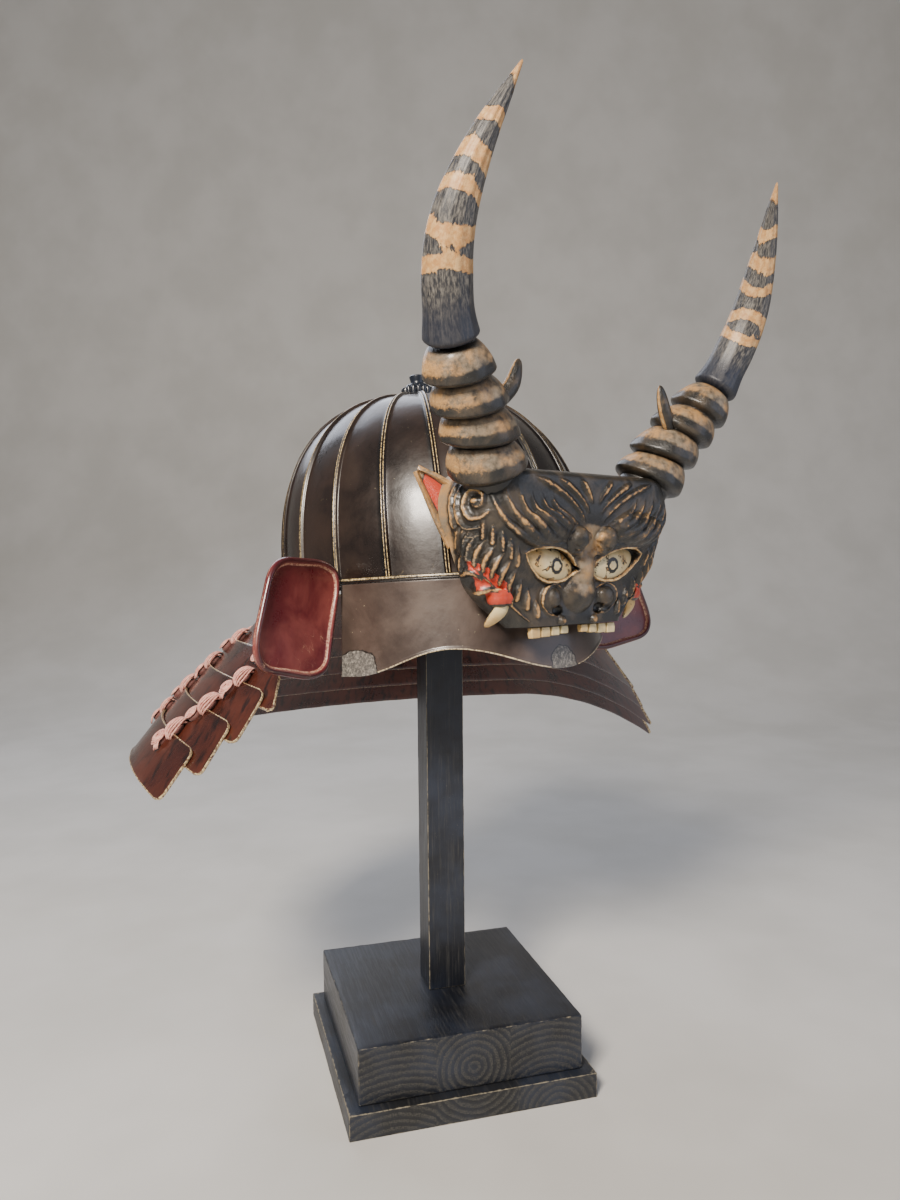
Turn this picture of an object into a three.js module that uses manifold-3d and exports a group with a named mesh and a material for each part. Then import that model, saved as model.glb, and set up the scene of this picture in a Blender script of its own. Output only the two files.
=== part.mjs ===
// Kabuto (samurai helmet) with a horned beast-head crest, on its wooden display stand.
// Millimetres, +Z up. The origin is the middle of the stand's foot. The helmet faces -Y and its left is +X.
import * as THREE from 'three';
import * as BufferGeometryUtils from 'three/addons/utils/BufferGeometryUtils.js';
import Module from 'manifold-3d';

const wasm = await Module();
wasm.setup();

// ---------- driving dimensions ----------
const GAP = 0.3;                 // air between pieces that touch

// stand
const STAND_TURN = -24.8;        // the stand is turned a little under the helmet, in degrees
const PLINTH = { side: 189, height: 19, bevel: 1.2 };
const BLOCK = { side: 172, height: 42, bevel: 1.2 };
const POST = { side: 30, bevel: 1.0 };
const PAD = { radius: 44, drop: 30 };

// helmet pose on the stand
const HELMET = { height: 389, tiltBack: 4.5, roll: 0.93 };

// bowl: ellipse at the rim, superellipse in section, leaning back
const BOWL = {
  halfWidth: 115, halfLength: 129.5, height: 147, rimY: 2.9, lean: 12, fullness: 2.55, wall: 2.5,
};
const RIB = { count: 20, halfWidth: 1.7, height: 2, spread: 5.5 };   // spread: wider front plates, degrees
// rows of the bowl's outer and inner faces, from 0 at the rim to 1 at the crown
const OUTER_RISES = [0, 0.12, 0.27, 0.42, 0.57, 0.71, 0.83, 0.92];
const INNER_RISES = [0, 0.35, 0.65, 0.86];
const RIM_BAND = { low: -2, high: 1.6, reach: 2.6 };

// visor: a steep skirt with a wavy lower edge, angles measured from the front
const VISOR = {
  end: 76, top: -2.4, wall: 2, flare: 3, columns: 28,
  lobe: -67, arch: -49.5, sideLobe: -66, archAt: 40, sideLobeAt: 71,
};

// turned-back side plates
const SIDE_PLATE = {
  foldX: 116, foldY: -28, outX: 83.7, outY: -25.4, wall: 2.2, bead: 3.4, beadWidth: 4, dish: 1.2,
};
const PLATE_OUTLINE = [          // u from the fold outwards, v up, r is the corner's rounding
  { u: -2, v: 6, r: 17 }, { u: 15, v: 15, r: 12 }, { u: 66, v: 17, r: 17 }, { u: 87.5, v: -40, r: 16 },
  { u: 82, v: -56, r: 12 }, { u: 34, v: -66, r: 14 }, { u: 17, v: -61, r: 9 },
];

// neck guard
const GUARD = { radius: 245, centreY: -20, topZ: -6, backZ: -115, rightZ: -136, leftZ: -158, droopFrom: 55,
  lameSpan: 0.215, lift: 4, wall: 2, segment: 7 };
// slant position of each lame's lower edge, and where its front ends stop (degrees from the back)
const LAMES = [
  { bottom: 0.37, endTop: 103, endBottom: 95 },
  { bottom: 0.535, endTop: 97.5, endBottom: 101.5 },
  { bottom: 0.695, endTop: 98.2, endBottom: 96.7 },
  { bottom: 0.85, endTop: 94.4, endBottom: 93.4 },
  { bottom: 1.0, endTop: 89.7, endBottom: 88.5 },
];
const LACE = {
  columns: 8, step: 22.6, spread: 0.375, halfWidth: 6.5, low: 2.2, lump: 7.5, limit: 90.5, clear: 1.1,
};

// crest head: sections from the back of the crown down to the lip
const HEAD_ROWS = [              // height, half width, front, corner radius and back edge of each section
  { z: 59, half: 72, front: -127, corner: 12, back: -112 },
  { z: 65, half: 78, front: -150, corner: 20, back: -112 },
  { z: 60, half: 86, front: -167.5, corner: 26, back: -112 },
  { z: 48, half: 92, front: -167, corner: 27, back: -113 },
  { z: 35, half: 93, front: -165, corner: 27, back: -115 },
  { z: 22, half: 89, front: -161, corner: 27, back: -117 },
  { z: 11, half: 89, front: -156.5, corner: 27, back: -121 },
  { z: 0, half: 87, front: -152, corner: 27, back: -124 },
  { z: -11, half: 79.5, front: -148, corner: 26, back: -127 },
  { z: -22, half: 67.5, front: -146.5, corner: 25, back: -130 },
  { z: -31, half: 58, front: -146, corner: 20, back: -133 },
  { z: -37, half: 53, front: -145, corner: 15, back: -134 },
];
const HEAD_WALL = 6;
const HEAD_RELIEF = [            // swellings carved in one with the head, mirrored where x is not 0
  { name: 'bridge', x: 0, y: -149, z: 2, rx: 11, ry: 10, rz: 16, turn: 12 },
  { name: 'nose', x: 0, y: -144, z: -14, rx: 17, ry: 11.5, rz: 15, turn: 12 },
  { name: 'nostril', x: 28, y: -143, z: -18, rx: 11, ry: 8.5, rz: 9, turn: 0 },
  { name: 'brow_bulb', x: 14.6, y: -159, z: 20, rx: 8, ry: 8, rz: 8.5, turn: 0 },
  { name: 'brow', x: 46, y: -155, z: 30, rx: 32, ry: 13, rz: 13, turn: 0 },
  { name: 'lip_corner', x: 74, y: -132, z: -6, rx: 8.5, ry: 9, rz: 8, turn: 0 },
  { name: 'lip_roll', x: 66, y: -138, z: -17, rx: 8.5, ry: 8, rz: 7, turn: 0 },
];
const EYE = { x: 34, y: -147.5, z: 2.5, rx: 21, ry: 8.5, rz: 10 };
const PRONG = { width: 24, low: 22, high: 34, front: -153.6, back: -127 };

// horns: waypoints and radii from the root to the tip, for the helmet's left horn
const HORN_PATH = [              // root, middle of the ringed part, its end, then the bow and the tip
  [72, -144, 52], [97, -158, 91], [128, -175, 129], [145, -195, 176], [141, -214, 217], [125, -238, 263],
];
const HORN_STEPS = 3;            // rows in each stretch of the path
const HORN_RADIUS = { root: 23, split: 17.5, rootTaper: 1.6, upper: 14.8, tip: 0.6, upperTaper: 2.3 };
const HORN_SIDES = 12;
const HORN_SPLIT = 6;            // row of the path where the ringed root ends and the smooth horn starts
const HORN_RINGS = { count: 4, swell: 2.6, pinch: 3.4, lean: 16 };
const NUB = { root: [86, -166, 101], knee: [76, -169.5, 113], tip: [70, -171, 129], radius: 6.5 };

// ears, fangs and teeth, for the helmet's left side
const EAR = { low: [84, -113, 17], high: [80, -126, 50], tip: [98, -100, 70], wall: 3, dish: 7 };
const FANG = { root: [62, -137, -17], knee: [66, -135, -26], tip: [70.5, -126, -35.5], width: 8.5, depth: 6 };
const TEETH = { from: 5, to: 49, top: -37.4, drop: 6.5, depth: 4.5, inset: 2 };

const FINISH = {
  wood: { color: 0x14161b, roughness: 0.42, metalness: 0 },
  bowlLacquer: { color: 0x2b2220, roughness: 0.34, metalness: 0.25 },
  visorLacquer: { color: 0x3a3330, roughness: 0.4, metalness: 0.25 },
  redLacquer: { color: 0x5e1f20, roughness: 0.35, metalness: 0.05 },
  lameLacquer: { color: 0x4a2a20, roughness: 0.4, metalness: 0.05 },
  silk: { color: 0xc98378, roughness: 0.9, metalness: 0 },
  carvedLacquer: { color: 0x3a3128, roughness: 0.45, metalness: 0.1 },
  hornLacquer: { color: 0x4a4038, roughness: 0.5, metalness: 0 },
  ivory: { color: 0xd9c48c, roughness: 0.5, metalness: 0 },
  eyePaint: { color: 0xd8b676, roughness: 0.5, metalness: 0 },
};

// ---------- small helpers ----------
const rad = THREE.MathUtils.degToRad;
const vec = (x, y, z) => new THREE.Vector3(x, y, z);
const lerp = THREE.MathUtils.lerp;
const blend = (a, b, k) => a.clone().lerp(b, k);

/** Closed geometry from shared corners and triangles, turned so that its faces point outwards. */
function closedGeometry(points, faces) {
  const [a, b, c] = [vec(0, 0, 0), vec(0, 0, 0), vec(0, 0, 0)];
  let volume = 0;
  for (const [i, j, k] of faces) {
    volume += a.copy(points[i]).dot(b.copy(points[j]).cross(c.copy(points[k])));
  }
  const turned = volume < 0 ? faces.map(([i, j, k]) => [i, k, j]) : faces;
  const geometry = new THREE.BufferGeometry();
  const corners = points.flatMap((p) => [p.x, p.y, p.z]);
  geometry.setAttribute('position', new THREE.Float32BufferAttribute(corners, 3));
  geometry.setIndex(turned.flat());
  return geometry;
}

/** Skin over closed loops of equal count. Its ends close to a start and an end point, or the loops join up. */
function skin(loops, start, end) {
  const n = loops[0].length;
  const points = loops.flat();
  const faces = [];
  const bands = start ? loops.length - 1 : loops.length;
  for (let i = 0; i < bands; i += 1) {
    const next = (i + 1) % loops.length;
    for (let j = 0; j < n; j += 1) {
      const k = (j + 1) % n;
      faces.push([i * n + j, i * n + k, next * n + k], [i * n + j, next * n + k, next * n + j]);
    }
  }
  if (start) {
    const first = points.push(start) - 1;
    const last = points.push(end) - 1;
    const base = (loops.length - 1) * n;
    for (let j = 0; j < n; j += 1) {
      const k = (j + 1) % n;
      faces.push([first, k, j], [last, base + j, base + k]);
    }
  }
  return closedGeometry(points, faces);
}

/** Sheet with a thickness, from an outer and an inner grid of the same size. */
function sheet(outer, inner) {
  const rows = outer.length;
  const columns = outer[0].length;
  const points = [...outer.flat(), ...inner.flat()];
  const at = (side, i, j) => side * rows * columns + i * columns + j;
  const faces = [];
  const quad = (a, b, c, d) => faces.push([a, b, c], [a, c, d]);
  for (let i = 0; i < rows - 1; i += 1) {
    for (let j = 0; j < columns - 1; j += 1) {
      quad(at(0, i, j), at(0, i, j + 1), at(0, i + 1, j + 1), at(0, i + 1, j));
      quad(at(1, i, j), at(1, i + 1, j), at(1, i + 1, j + 1), at(1, i, j + 1));
    }
    quad(at(0, i, 0), at(0, i + 1, 0), at(1, i + 1, 0), at(1, i, 0));
    quad(at(0, i, columns - 1), at(1, i, columns - 1), at(1, i + 1, columns - 1), at(0, i + 1, columns - 1));
  }
  for (let j = 0; j < columns - 1; j += 1) {
    quad(at(0, 0, j), at(1, 0, j), at(1, 0, j + 1), at(0, 0, j + 1));
    quad(at(0, rows - 1, j), at(0, rows - 1, j + 1), at(1, rows - 1, j + 1), at(1, rows - 1, j));
  }
  return closedGeometry(points, faces);
}

/** Geometry to a manifold solid. */
function solid(geometry) {
  const bare = geometry.clone();
  bare.deleteAttribute('normal');
  bare.deleteAttribute('uv');
  const welded = BufferGeometryUtils.mergeVertices(bare, 1e-4);
  return new wasm.Manifold(new wasm.Mesh({
    numProp: 3,
    vertProperties: new Float32Array(welded.attributes.position.array),
    triVerts: new Uint32Array(welded.index.array),
  }));
}

/** Manifold solid back to geometry, keeping only its largest lump. */
function fromSolid(body) {
  const lumps = body.decompose().sort((a, b) => b.volume() - a.volume());
  const mesh = lumps[0].getMesh();
  const geometry = new THREE.BufferGeometry();
  geometry.setAttribute('position', new THREE.Float32BufferAttribute(mesh.vertProperties, 3));
  geometry.setIndex(Array.from(mesh.triVerts));
  return geometry;
}

/** Named mesh with its own material. */
function piece(name, geometry, finish) {
  const shown = geometry.index ? geometry.toNonIndexed() : geometry;
  shown.computeVertexNormals();
  const mesh = new THREE.Mesh(shown, new THREE.MeshStandardMaterial(finish));
  mesh.name = name;
  return mesh;
}

const mirrored = (p) => vec(-p.x, p.y, p.z);

/** Geometry mirrored to the helmet's other side. */
function mirrorGeometry(geometry) {
  const flat = geometry.index ? geometry.toNonIndexed() : geometry.clone();
  flat.deleteAttribute('normal');
  const p = flat.attributes.position;
  for (let i = 0; i < p.count; i += 3) {
    const [a, b, c] = [0, 1, 2].map((k) => vec(-p.getX(i + k), p.getY(i + k), p.getZ(i + k)));
    [a, c, b].forEach((v, k) => p.setXYZ(i + k, v.x, v.y, v.z));
  }
  return flat;
}

/** The same shape as a left and a right piece. */
function pair(name, geometry, finish) {
  return [piece(`${name}_left`, geometry, finish), piece(`${name}_right`, mirrorGeometry(geometry), finish)];
}

/** Ellipsoid geometry with few sides. */
function ellipsoid(x, y, z, rx, ry, rz, turn = 0, sides = 10) {
  const ball = new THREE.SphereGeometry(1, sides, sides / 2 + 1);
  ball.rotateX(Math.PI / 2).scale(rx, ry, rz).rotateX(rad(turn)).translate(x, y, z);
  return ball;
}

/** Box with small bevels, standing on z = low. */
function bevelledBox(side, low, high, bevel) {
  const half = side / 2;
  const loop = (inset, z) => [[1, 1], [-1, 1], [-1, -1], [1, -1]].map(([sx, sy]) => {
    return vec(sx * (half - inset), sy * (half - inset), z);
  });
  const loops = [loop(0, low), loop(0, high - bevel), loop(bevel, high)];
  return skin(loops, vec(0, 0, low), vec(0, 0, high));
}

// ---------- stand ----------
function standPieces(padCutter) {
  const blockTop = PLINTH.height + GAP + BLOCK.height;
  const crownZ = HELMET.height + BOWL.height;
  const padLow = crownZ - PAD.drop;
  const turned = (geometry) => geometry.rotateZ(rad(STAND_TURN));
  const disc = new THREE.CylinderGeometry(PAD.radius, PAD.radius, PAD.drop + 20, 28);
  disc.rotateX(Math.PI / 2).translate(0, 0, padLow + (PAD.drop + 20) / 2);
  const pad = fromSolid(solid(disc).intersect(padCutter));
  const block = bevelledBox(BLOCK.side, PLINTH.height + GAP, blockTop, BLOCK.bevel);
  const post = bevelledBox(POST.side, blockTop + GAP, padLow - GAP, POST.bevel);
  return [
    piece('stand_plinth', turned(bevelledBox(PLINTH.side, 0, PLINTH.height, PLINTH.bevel)), FINISH.wood),
    piece('stand_block', turned(block), FINISH.wood),
    piece('stand_post', turned(post), FINISH.wood),
    piece('stand_pad', pad, FINISH.wood),
  ];
}

// ---------- bowl ----------
/** Point on the bowl at a turn from the front (radians) and a rise from 0 at the rim to 1 at the crown. */
function bowlPoint(turn, rise, offset = 0) {
  const angle = rise * Math.PI / 2;
  const flat = Math.cos(angle) ** (2 / BOWL.fullness);
  const up = Math.sin(angle) ** (2 / BOWL.fullness);
  return vec(
    (BOWL.halfWidth + offset) * flat * Math.sin(turn),
    BOWL.rimY + BOWL.lean * up - (BOWL.halfLength + offset) * flat * Math.cos(turn),
    (BOWL.height + offset) * up,
  );
}

/** Turn of a rib from the front, in radians. */
function ribTurn(index) {
  const even = index * 2 * Math.PI / RIB.count;
  return even + rad(RIB.spread) * Math.sin(even);
}

function bowlGeometry() {
  const low = RIM_BAND.high + GAP;
  const outer = OUTER_RISES.map((rise, row) => {
    const loop = [];
    const fade = rise > 0.9 ? 0.4 : 1;
    for (let k = 0; k < RIB.count; k += 1) {
      const middle = ribTurn(k);
      const radius = Math.hypot(bowlPoint(middle, rise).x, bowlPoint(middle, rise).y - BOWL.rimY);
      const half = RIB.halfWidth / Math.max(radius, 12);
      const rib = [[-1.6, 0], [-0.7, RIB.height * fade], [0.7, RIB.height * fade], [1.6, 0]];
      rib.forEach(([side, height]) => loop.push(bowlPoint(middle + side * half, rise, height)));
      loop.push(bowlPoint(ribTurn(k + 0.5), rise));
    }
    return row === 0 ? loop.map((p) => p.setZ(low)) : loop;
  });
  const inner = INNER_RISES.toReversed().map((rise) => outer[0].map((_, j) => {
    const turn = ribTurn(Math.floor(j / 5) + [-0.3, -0.1, 0.1, 0.3, 0.5][j % 5]);
    const p = bowlPoint(turn, rise, -BOWL.wall);
    return rise === 0 ? p.setZ(low) : p;
  }));
  const [top, inside] = [bowlPoint(0, 1, 0), bowlPoint(0, 1, -BOWL.wall)];
  return skin([...outer.reverse(), ...inner.reverse()], top, inside);
}

/** Solid that fills the bowl up to an offset from its plain surface, from a low plane up. */
function bowlFill(offset, lowZ, rises) {
  const loops = rises.map((rise) => {
    const loop = [];
    for (let k = 0; k < 32; k += 1) loop.push(bowlPoint(k * Math.PI / 16, rise, offset));
    return loop;
  });
  const foot = loops[0].map((p) => p.clone().setZ(lowZ));
  return skin([foot, ...loops], vec(0, BOWL.rimY, lowZ), bowlPoint(0, 1, offset));
}

function rimBandGeometry() {
  const { low, high, reach } = RIM_BAND;
  const middle = (low + high) / 2;
  const section = [[-2.2, low], [reach - 1.2, low], [reach, middle], [reach - 1.2, high], [-2.2, high]];
  const loops = [];
  for (let k = 0; k < 36; k += 1) {
    loops.push(section.map(([out, z]) => bowlPoint(k * Math.PI / 18, 0, out).setZ(z)));
  }
  return skin(loops);
}

/** Stack of petalled tiers over the hole in the crown. */
function finialPieces() {
  const tiers = [
    { name: 'finial_base', low: -1.5, profile: [[16.7, 0], [16.7, 5.5], [13, 6], [12.6, 11]], petals: 0.7 },
    {
      name: 'finial_top', low: 9.8, petals: 0.4,
      profile: [[8.6, 0], [7.4, 4.2], [5.2, 4.6], [5.8, 8.4], [4.6, 10.4]],
    },
  ];
  const crown = bowlPoint(0, 1, 0);
  const crownTop = solid(bowlFill(RIB.height + GAP, 60, OUTER_RISES));
  return tiers.map(({ name, low, profile, petals }) => {
    const loops = profile.map(([radius, z]) => {
      const loop = [];
      for (let k = 0; k < 20; k += 1) {
        const r = radius + (k % 2 ? petals : -petals);
        const a = k * Math.PI / 10;
        loop.push(vec(crown.x + r * Math.cos(a), crown.y + r * Math.sin(a), crown.z + low + z));
      }
      return loop;
    });
    const [bottom, top] = [0, profile.at(-1)[1]].map((z) => vec(crown.x, crown.y, crown.z + low + z));
    const tier = skin(loops, bottom, top);
    return piece(name, fromSolid(solid(tier).subtract(crownTop)), FINISH.bowlLacquer);
  });
}

// ---------- visor ----------
/** Height of the visor's lower edge at a turn from the front, in degrees. */
function visorEdge(turn) {
  const { lobe, arch, sideLobe, archAt, sideLobeAt } = VISOR;
  const t = Math.abs(turn);
  const [from, to, k] = t < archAt
    ? [lobe, arch, t / archAt] : [arch, sideLobe, (t - archAt) / (sideLobeAt - archAt)];
  return lerp(from, to, (1 - Math.cos(Math.PI * Math.min(k, 1))) / 2);
}

function visorGeometry() {
  const grid = (depth) => {
    const rows = [];
    for (let k = 0; k <= VISOR.columns; k += 1) {
      const turn = lerp(-VISOR.end, VISOR.end, k / VISOR.columns);
      const low = visorEdge(turn);
      rows.push([0, 0.35, 0.7, 1].map((fall) => {
        const out = VISOR.flare * fall ** 1.5 - depth;
        return bowlPoint(rad(turn), 0, out).setZ(lerp(VISOR.top, low, fall));
      }));
    }
    return rows;
  };
  return sheet(grid(-VISOR.wall), grid(0));
}

// ---------- turned-back side plates ----------
/** Rounded outline of the plate, pulled in by an inset. */
function plateOutline(inset) {
  const corners = PLATE_OUTLINE;
  const middle = { u: 43, v: -24 };
  const points = [];
  corners.forEach((corner, i) => {
    const before = corners[(i + corners.length - 1) % corners.length];
    const after = corners[(i + 1) % corners.length];
    const toward = (other) => {
      const length = Math.hypot(other.u - corner.u, other.v - corner.v);
      const k = Math.min(corner.r / length, 0.45);
      return { u: lerp(corner.u, other.u, k), v: lerp(corner.v, other.v, k) };
    };
    const [a, b] = [toward(before), toward(after)];
    [0, 0.5, 1].forEach((k) => points.push({
      u: (1 - k) ** 2 * a.u + 2 * k * (1 - k) * corner.u + k ** 2 * b.u,
      v: (1 - k) ** 2 * a.v + 2 * k * (1 - k) * corner.v + k ** 2 * b.v,
    }));
  });
  return points.map(({ u, v }) => {
    const length = Math.hypot(u - middle.u, v - middle.v);
    const k = (length - inset) / length;
    return { u: middle.u + (u - middle.u) * k, v: middle.v + (v - middle.v) * k };
  });
}

function sidePlateGeometry() {
  const { foldX, foldY, outX, outY, wall, bead, beadWidth, dish } = SIDE_PLATE;
  const along = vec(outX, outY, 0).normalize();
  const front = vec(along.y, -along.x, 0);
  const place = (u, v, h) => vec(foldX, foldY, v).addScaledVector(along, u).addScaledVector(front, h);
  const loop = (inset, h) => plateOutline(inset).map(({ u, v }) => place(u, v, h));
  const loops = [
    loop(0, wall), loop(1, bead + 0.8), loop(beadWidth - 1, bead + 0.8), loop(beadWidth, wall - 0.2),
    loop(beadWidth + 12, wall - dish),
  ];
  const back = [loop(beadWidth + 12, -dish), loop(beadWidth, 0), loop(0.5, 0)];
  const rings = [...loops.reverse(), ...back.reverse()];
  return skin(rings, place(43, -24, wall - dish), place(43, -24, -dish));
}

// ---------- neck guard ----------
/** Point of the guard's slant at an angle from the back (degrees, + to the helmet's left) and a fall 0 to 1. */
function guardPoint(angle, fall) {
  const a = rad(angle);
  const [sideways, backways] = [BOWL.halfWidth + 1, BOWL.halfLength + 1];
  const top = vec(sideways * Math.sin(a), BOWL.rimY + backways * Math.cos(a), GUARD.topZ);
  const over = Math.max(0, Math.abs(angle) - GUARD.droopFrom) / (90 - GUARD.droopFrom);
  const droop = (angle > 0 ? GUARD.leftZ : GUARD.rightZ) - GUARD.backZ;
  const low = GUARD.backZ + droop * Math.min(over, 1.3) ** 2;
  const foot = vec(GUARD.radius * Math.sin(a), GUARD.centreY + GUARD.radius * Math.cos(a), low);
  return top.lerp(foot, fall);
}

/** The same point raised along the slant's outward normal. */
function guardRaised(angle, fall, height) {
  const across = guardPoint(angle + 1, fall).sub(guardPoint(angle - 1, fall));
  const down = guardPoint(angle, Math.min(fall + 0.05, 1)).sub(guardPoint(angle, Math.min(fall, 0.95)));
  const normal = down.cross(across).normalize();
  return guardPoint(angle, fall).addScaledVector(normal, height);
}

/** Height of a lame's inner face over the slant: each lame's top edge lies outside the one above. */
function lameHeight(index, fall) {
  return index === 0 ? 0 : GUARD.lift * (LAMES[index].bottom - fall) / GUARD.lameSpan;
}

const lameTop = (index) => (index === 0 ? 0 : LAMES[index].bottom - GUARD.lameSpan);

function lameGeometry(index) {
  const { bottom, endTop, endBottom } = LAMES[index];
  const inside = Math.floor((Math.min(endTop, endBottom) - 2) / GUARD.segment);
  const grid = (depth) => {
    const row = (angleAt) => [0, 1].map((v) => {
      const fall = lerp(lameTop(index), bottom, v);
      return guardRaised(angleAt(v), fall, lameHeight(index, fall) + depth);
    });
    const rows = [row((v) => -lerp(endTop, endBottom, v))];
    for (let k = -inside; k <= inside; k += 1) rows.push(row(() => k * GUARD.segment));
    rows.push(row((v) => lerp(endTop, endBottom, v)));
    return rows;
  };
  return sheet(grid(GUARD.wall), grid(0));
}

/** One column of silk lacing over the lames, from the second lame's top to the last lame's top. */
function laceGeometry(column) {
  const base = LACE.step * (column + 0.5 - LACE.columns / 2);
  const stations = [];
  for (let i = 1; i < LAMES.length; i += 1) {
    const top = lameTop(i);
    const step = lameHeight(i, top) + GUARD.wall + LACE.clear;
    if (i === 1) stations.push({ fall: top - 0.07, floor: GUARD.wall + LACE.clear, bulge: LACE.low });
    stations.push({ fall: top - 0.035, floor: step - 1.2, bulge: LACE.lump });
    stations.push({ fall: top - 0.01, floor: step, bulge: LACE.low });
    stations.push({ fall: top + 0.025, floor: step, bulge: LACE.lump });
    stations.push({ fall: top + 0.055, floor: step - 0.3, bulge: LACE.low });
  }
  const angleAt = (fall) => {
    const angle = base * (1 + LACE.spread * (0.8 - fall));
    return Math.sign(angle) * Math.min(Math.abs(angle), LACE.limit);
  };
  const loops = stations.map(({ fall, floor, bulge }) => {
    const angle = angleAt(fall);
    const middle = guardPoint(angle, fall);
    const narrow = LACE.halfWidth / (rad(1) * middle.distanceTo(vec(0, GUARD.centreY, middle.z)));
    const section = [[-1, 0], [1, 0], [0.8, 0.8], [0, 1], [-0.8, 0.8]];
    return section.map(([side, up]) => guardRaised(angle + side * narrow, fall, floor + bulge * up));
  });
  const middle = (loop) => loop.reduce((sum, p) => sum.add(p), vec(0, 0, 0)).divideScalar(loop.length);
  return skin(loops, middle(loops[0]), middle(loops.at(-1)));
}

// ---------- crest ----------
/** Half section of the head from the front middle to the back edge, as fractions of one sweep. */
function headLoop({ z, half, front, corner, back }, grow) {
  const [w, f, r] = [half + grow, front - grow, corner + grow];
  const points = [vec(0, f, z), vec((w - r) * 0.35, f, z), vec((w - r) * 0.7, f, z)];
  for (let k = 0; k <= 4; k += 1) {
    const a = k * Math.PI / 8;
    points.push(vec(w - r + r * Math.sin(a), f + r - r * Math.cos(a), z));
  }
  points.push(vec(w, (f + r + back) / 2, z), vec(w - 1, back, z));
  const other = points.slice(1).reverse().map(mirrored);
  return [...points, ...other];
}

/** The head's outer form grown by an offset, as a closed solid with a flat back. */
function headForm(grow) {
  const rows = HEAD_ROWS.map((row, i) => {
    const rise = i < 2 ? grow : i === HEAD_ROWS.length - 1 ? -grow : 0;
    return headLoop({ ...row, z: row.z + rise }, grow);
  });
  const middle = (row) => vec(0, (row.front + row.back) / 2, row.z);
  return solid(skin(rows, middle({ ...HEAD_ROWS[0], z: HEAD_ROWS[0].z + grow }),
    middle({ ...HEAD_ROWS.at(-1), z: HEAD_ROWS.at(-1).z - grow })));
}

/** Hollow in the back of the head. */
function headHollow() {
  const rows = HEAD_ROWS.slice(1).map((row, i) => {
    const z = i === 0 ? row.z - HEAD_WALL : row.z + (i === HEAD_ROWS.length - 2 ? -2 : 0);
    return headLoop({ ...row, z, back: row.back + 12 }, -HEAD_WALL);
  });
  const flatter = rows.map((loop) => loop.map((p) => (p.y > -124 ? p.setY(-90) : p)));
  return solid(skin(flatter, vec(0, -120, flatter[0][0].z), vec(0, -120, flatter.at(-1)[0].z)));
}

/** Carved swellings grown by an offset. */
function headRelief(grow) {
  return HEAD_RELIEF.flatMap(({ x, y, z, rx, ry, rz, turn }) => {
    const sides = x === 0 ? [0] : [-x, x];
    return sides.map((place) => solid(ellipsoid(place, y, z, rx + grow, ry + grow, rz + grow, turn)));
  });
}

function eyeGeometry(side, grow) {
  return ellipsoid(side * EYE.x, EYE.y, EYE.z, EYE.rx + grow, EYE.ry + grow, EYE.rz + grow);
}

/** Centre and radius of the horn at each row, from the root to the tip. */
function hornRows() {
  const path = new THREE.CatmullRomCurve3(HORN_PATH.map((p) => vec(...p)));
  const last = (HORN_PATH.length - 1) * HORN_STEPS;
  return Array.from({ length: last + 1 }, (_, row) => {
    const { x, y, z } = path.getPoint(row / last);
    const low = row / HORN_SPLIT;
    const high = (row - HORN_SPLIT) / (last - HORN_SPLIT);
    const r = row <= HORN_SPLIT
      ? lerp(HORN_RADIUS.root, HORN_RADIUS.split, low ** HORN_RADIUS.rootTaper)
      : lerp(HORN_RADIUS.upper, HORN_RADIUS.tip, high ** HORN_RADIUS.upperTaper);
    return { x, y, z, r };
  });
}

/** Loops of a horn between two rows of its centre line. */
function hornLoops(from, to, ringed) {
  const rows = hornRows().slice(from, to + 1);
  const curve = new THREE.CatmullRomCurve3(rows.map((row) => vec(row.x, row.y, row.z)));
  const count = ringed ? 3 * HORN_RINGS.count + 3 : rows.length;
  const loops = [];
  for (let i = 0; i < count; i += 1) {
    const k = i / (count - 1);
    const place = k * (rows.length - 1);
    const low = Math.min(Math.floor(place), rows.length - 2);
    const centre = curve.getPoint(k);
    const along = curve.getTangent(k);
    let radius = lerp(rows[low].r, rows[low + 1].r, place - low);
    if (ringed) {
      const swell = [-HORN_RINGS.pinch, HORN_RINGS.swell, HORN_RINGS.swell * 0.6];
      radius += i > 1 ? swell[(i - 2) % 3] : 0;
    }
    const side = vec(0, 1, 0).cross(along).normalize();
    const over = along.clone().cross(side);
    const eased = Math.min(1, 3 * k) * Math.min(1, 4 * (1 - k));
    const lean = ringed ? Math.tan(rad(HORN_RINGS.lean)) * eased : 0;
    const loop = [];
    for (let j = 0; j < HORN_SIDES; j += 1) {
      const a = j * 2 * Math.PI / HORN_SIDES;
      const [c, s] = [radius * Math.cos(a), radius * Math.sin(a)];
      const p = centre.clone().addScaledVector(side, c).addScaledVector(over, s);
      loop.push(p.addScaledVector(along, lean * c));
    }
    loops.push(loop);
  }
  return { loops, start: curve.getPoint(0), end: curve.getPoint(1) };
}

/** Tapering spike through three points, with an oval root. */
function spike({ root, knee, tip }, width, depth, sides = 8) {
  const [a, b, c] = [root, knee, tip].map((p) => vec(...p));
  const loops = [[a, 1], [blend(a, b, 0.6), 1], [b, 0.78], [blend(b, c, 0.6), 0.4]].map(([centre, size]) => {
    const along = c.clone().sub(a).normalize();
    const side = along.clone().cross(vec(0, 1, 0)).normalize();
    const over = along.clone().cross(side);
    return Array.from({ length: sides }, (_, j) => {
      const t = j * 2 * Math.PI / sides;
      const [c, s] = [width * size * Math.cos(t), depth * size * Math.sin(t)];
      return centre.clone().addScaledVector(side, c).addScaledVector(over, s);
    });
  });
  return skin(loops, a, c);
}

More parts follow.
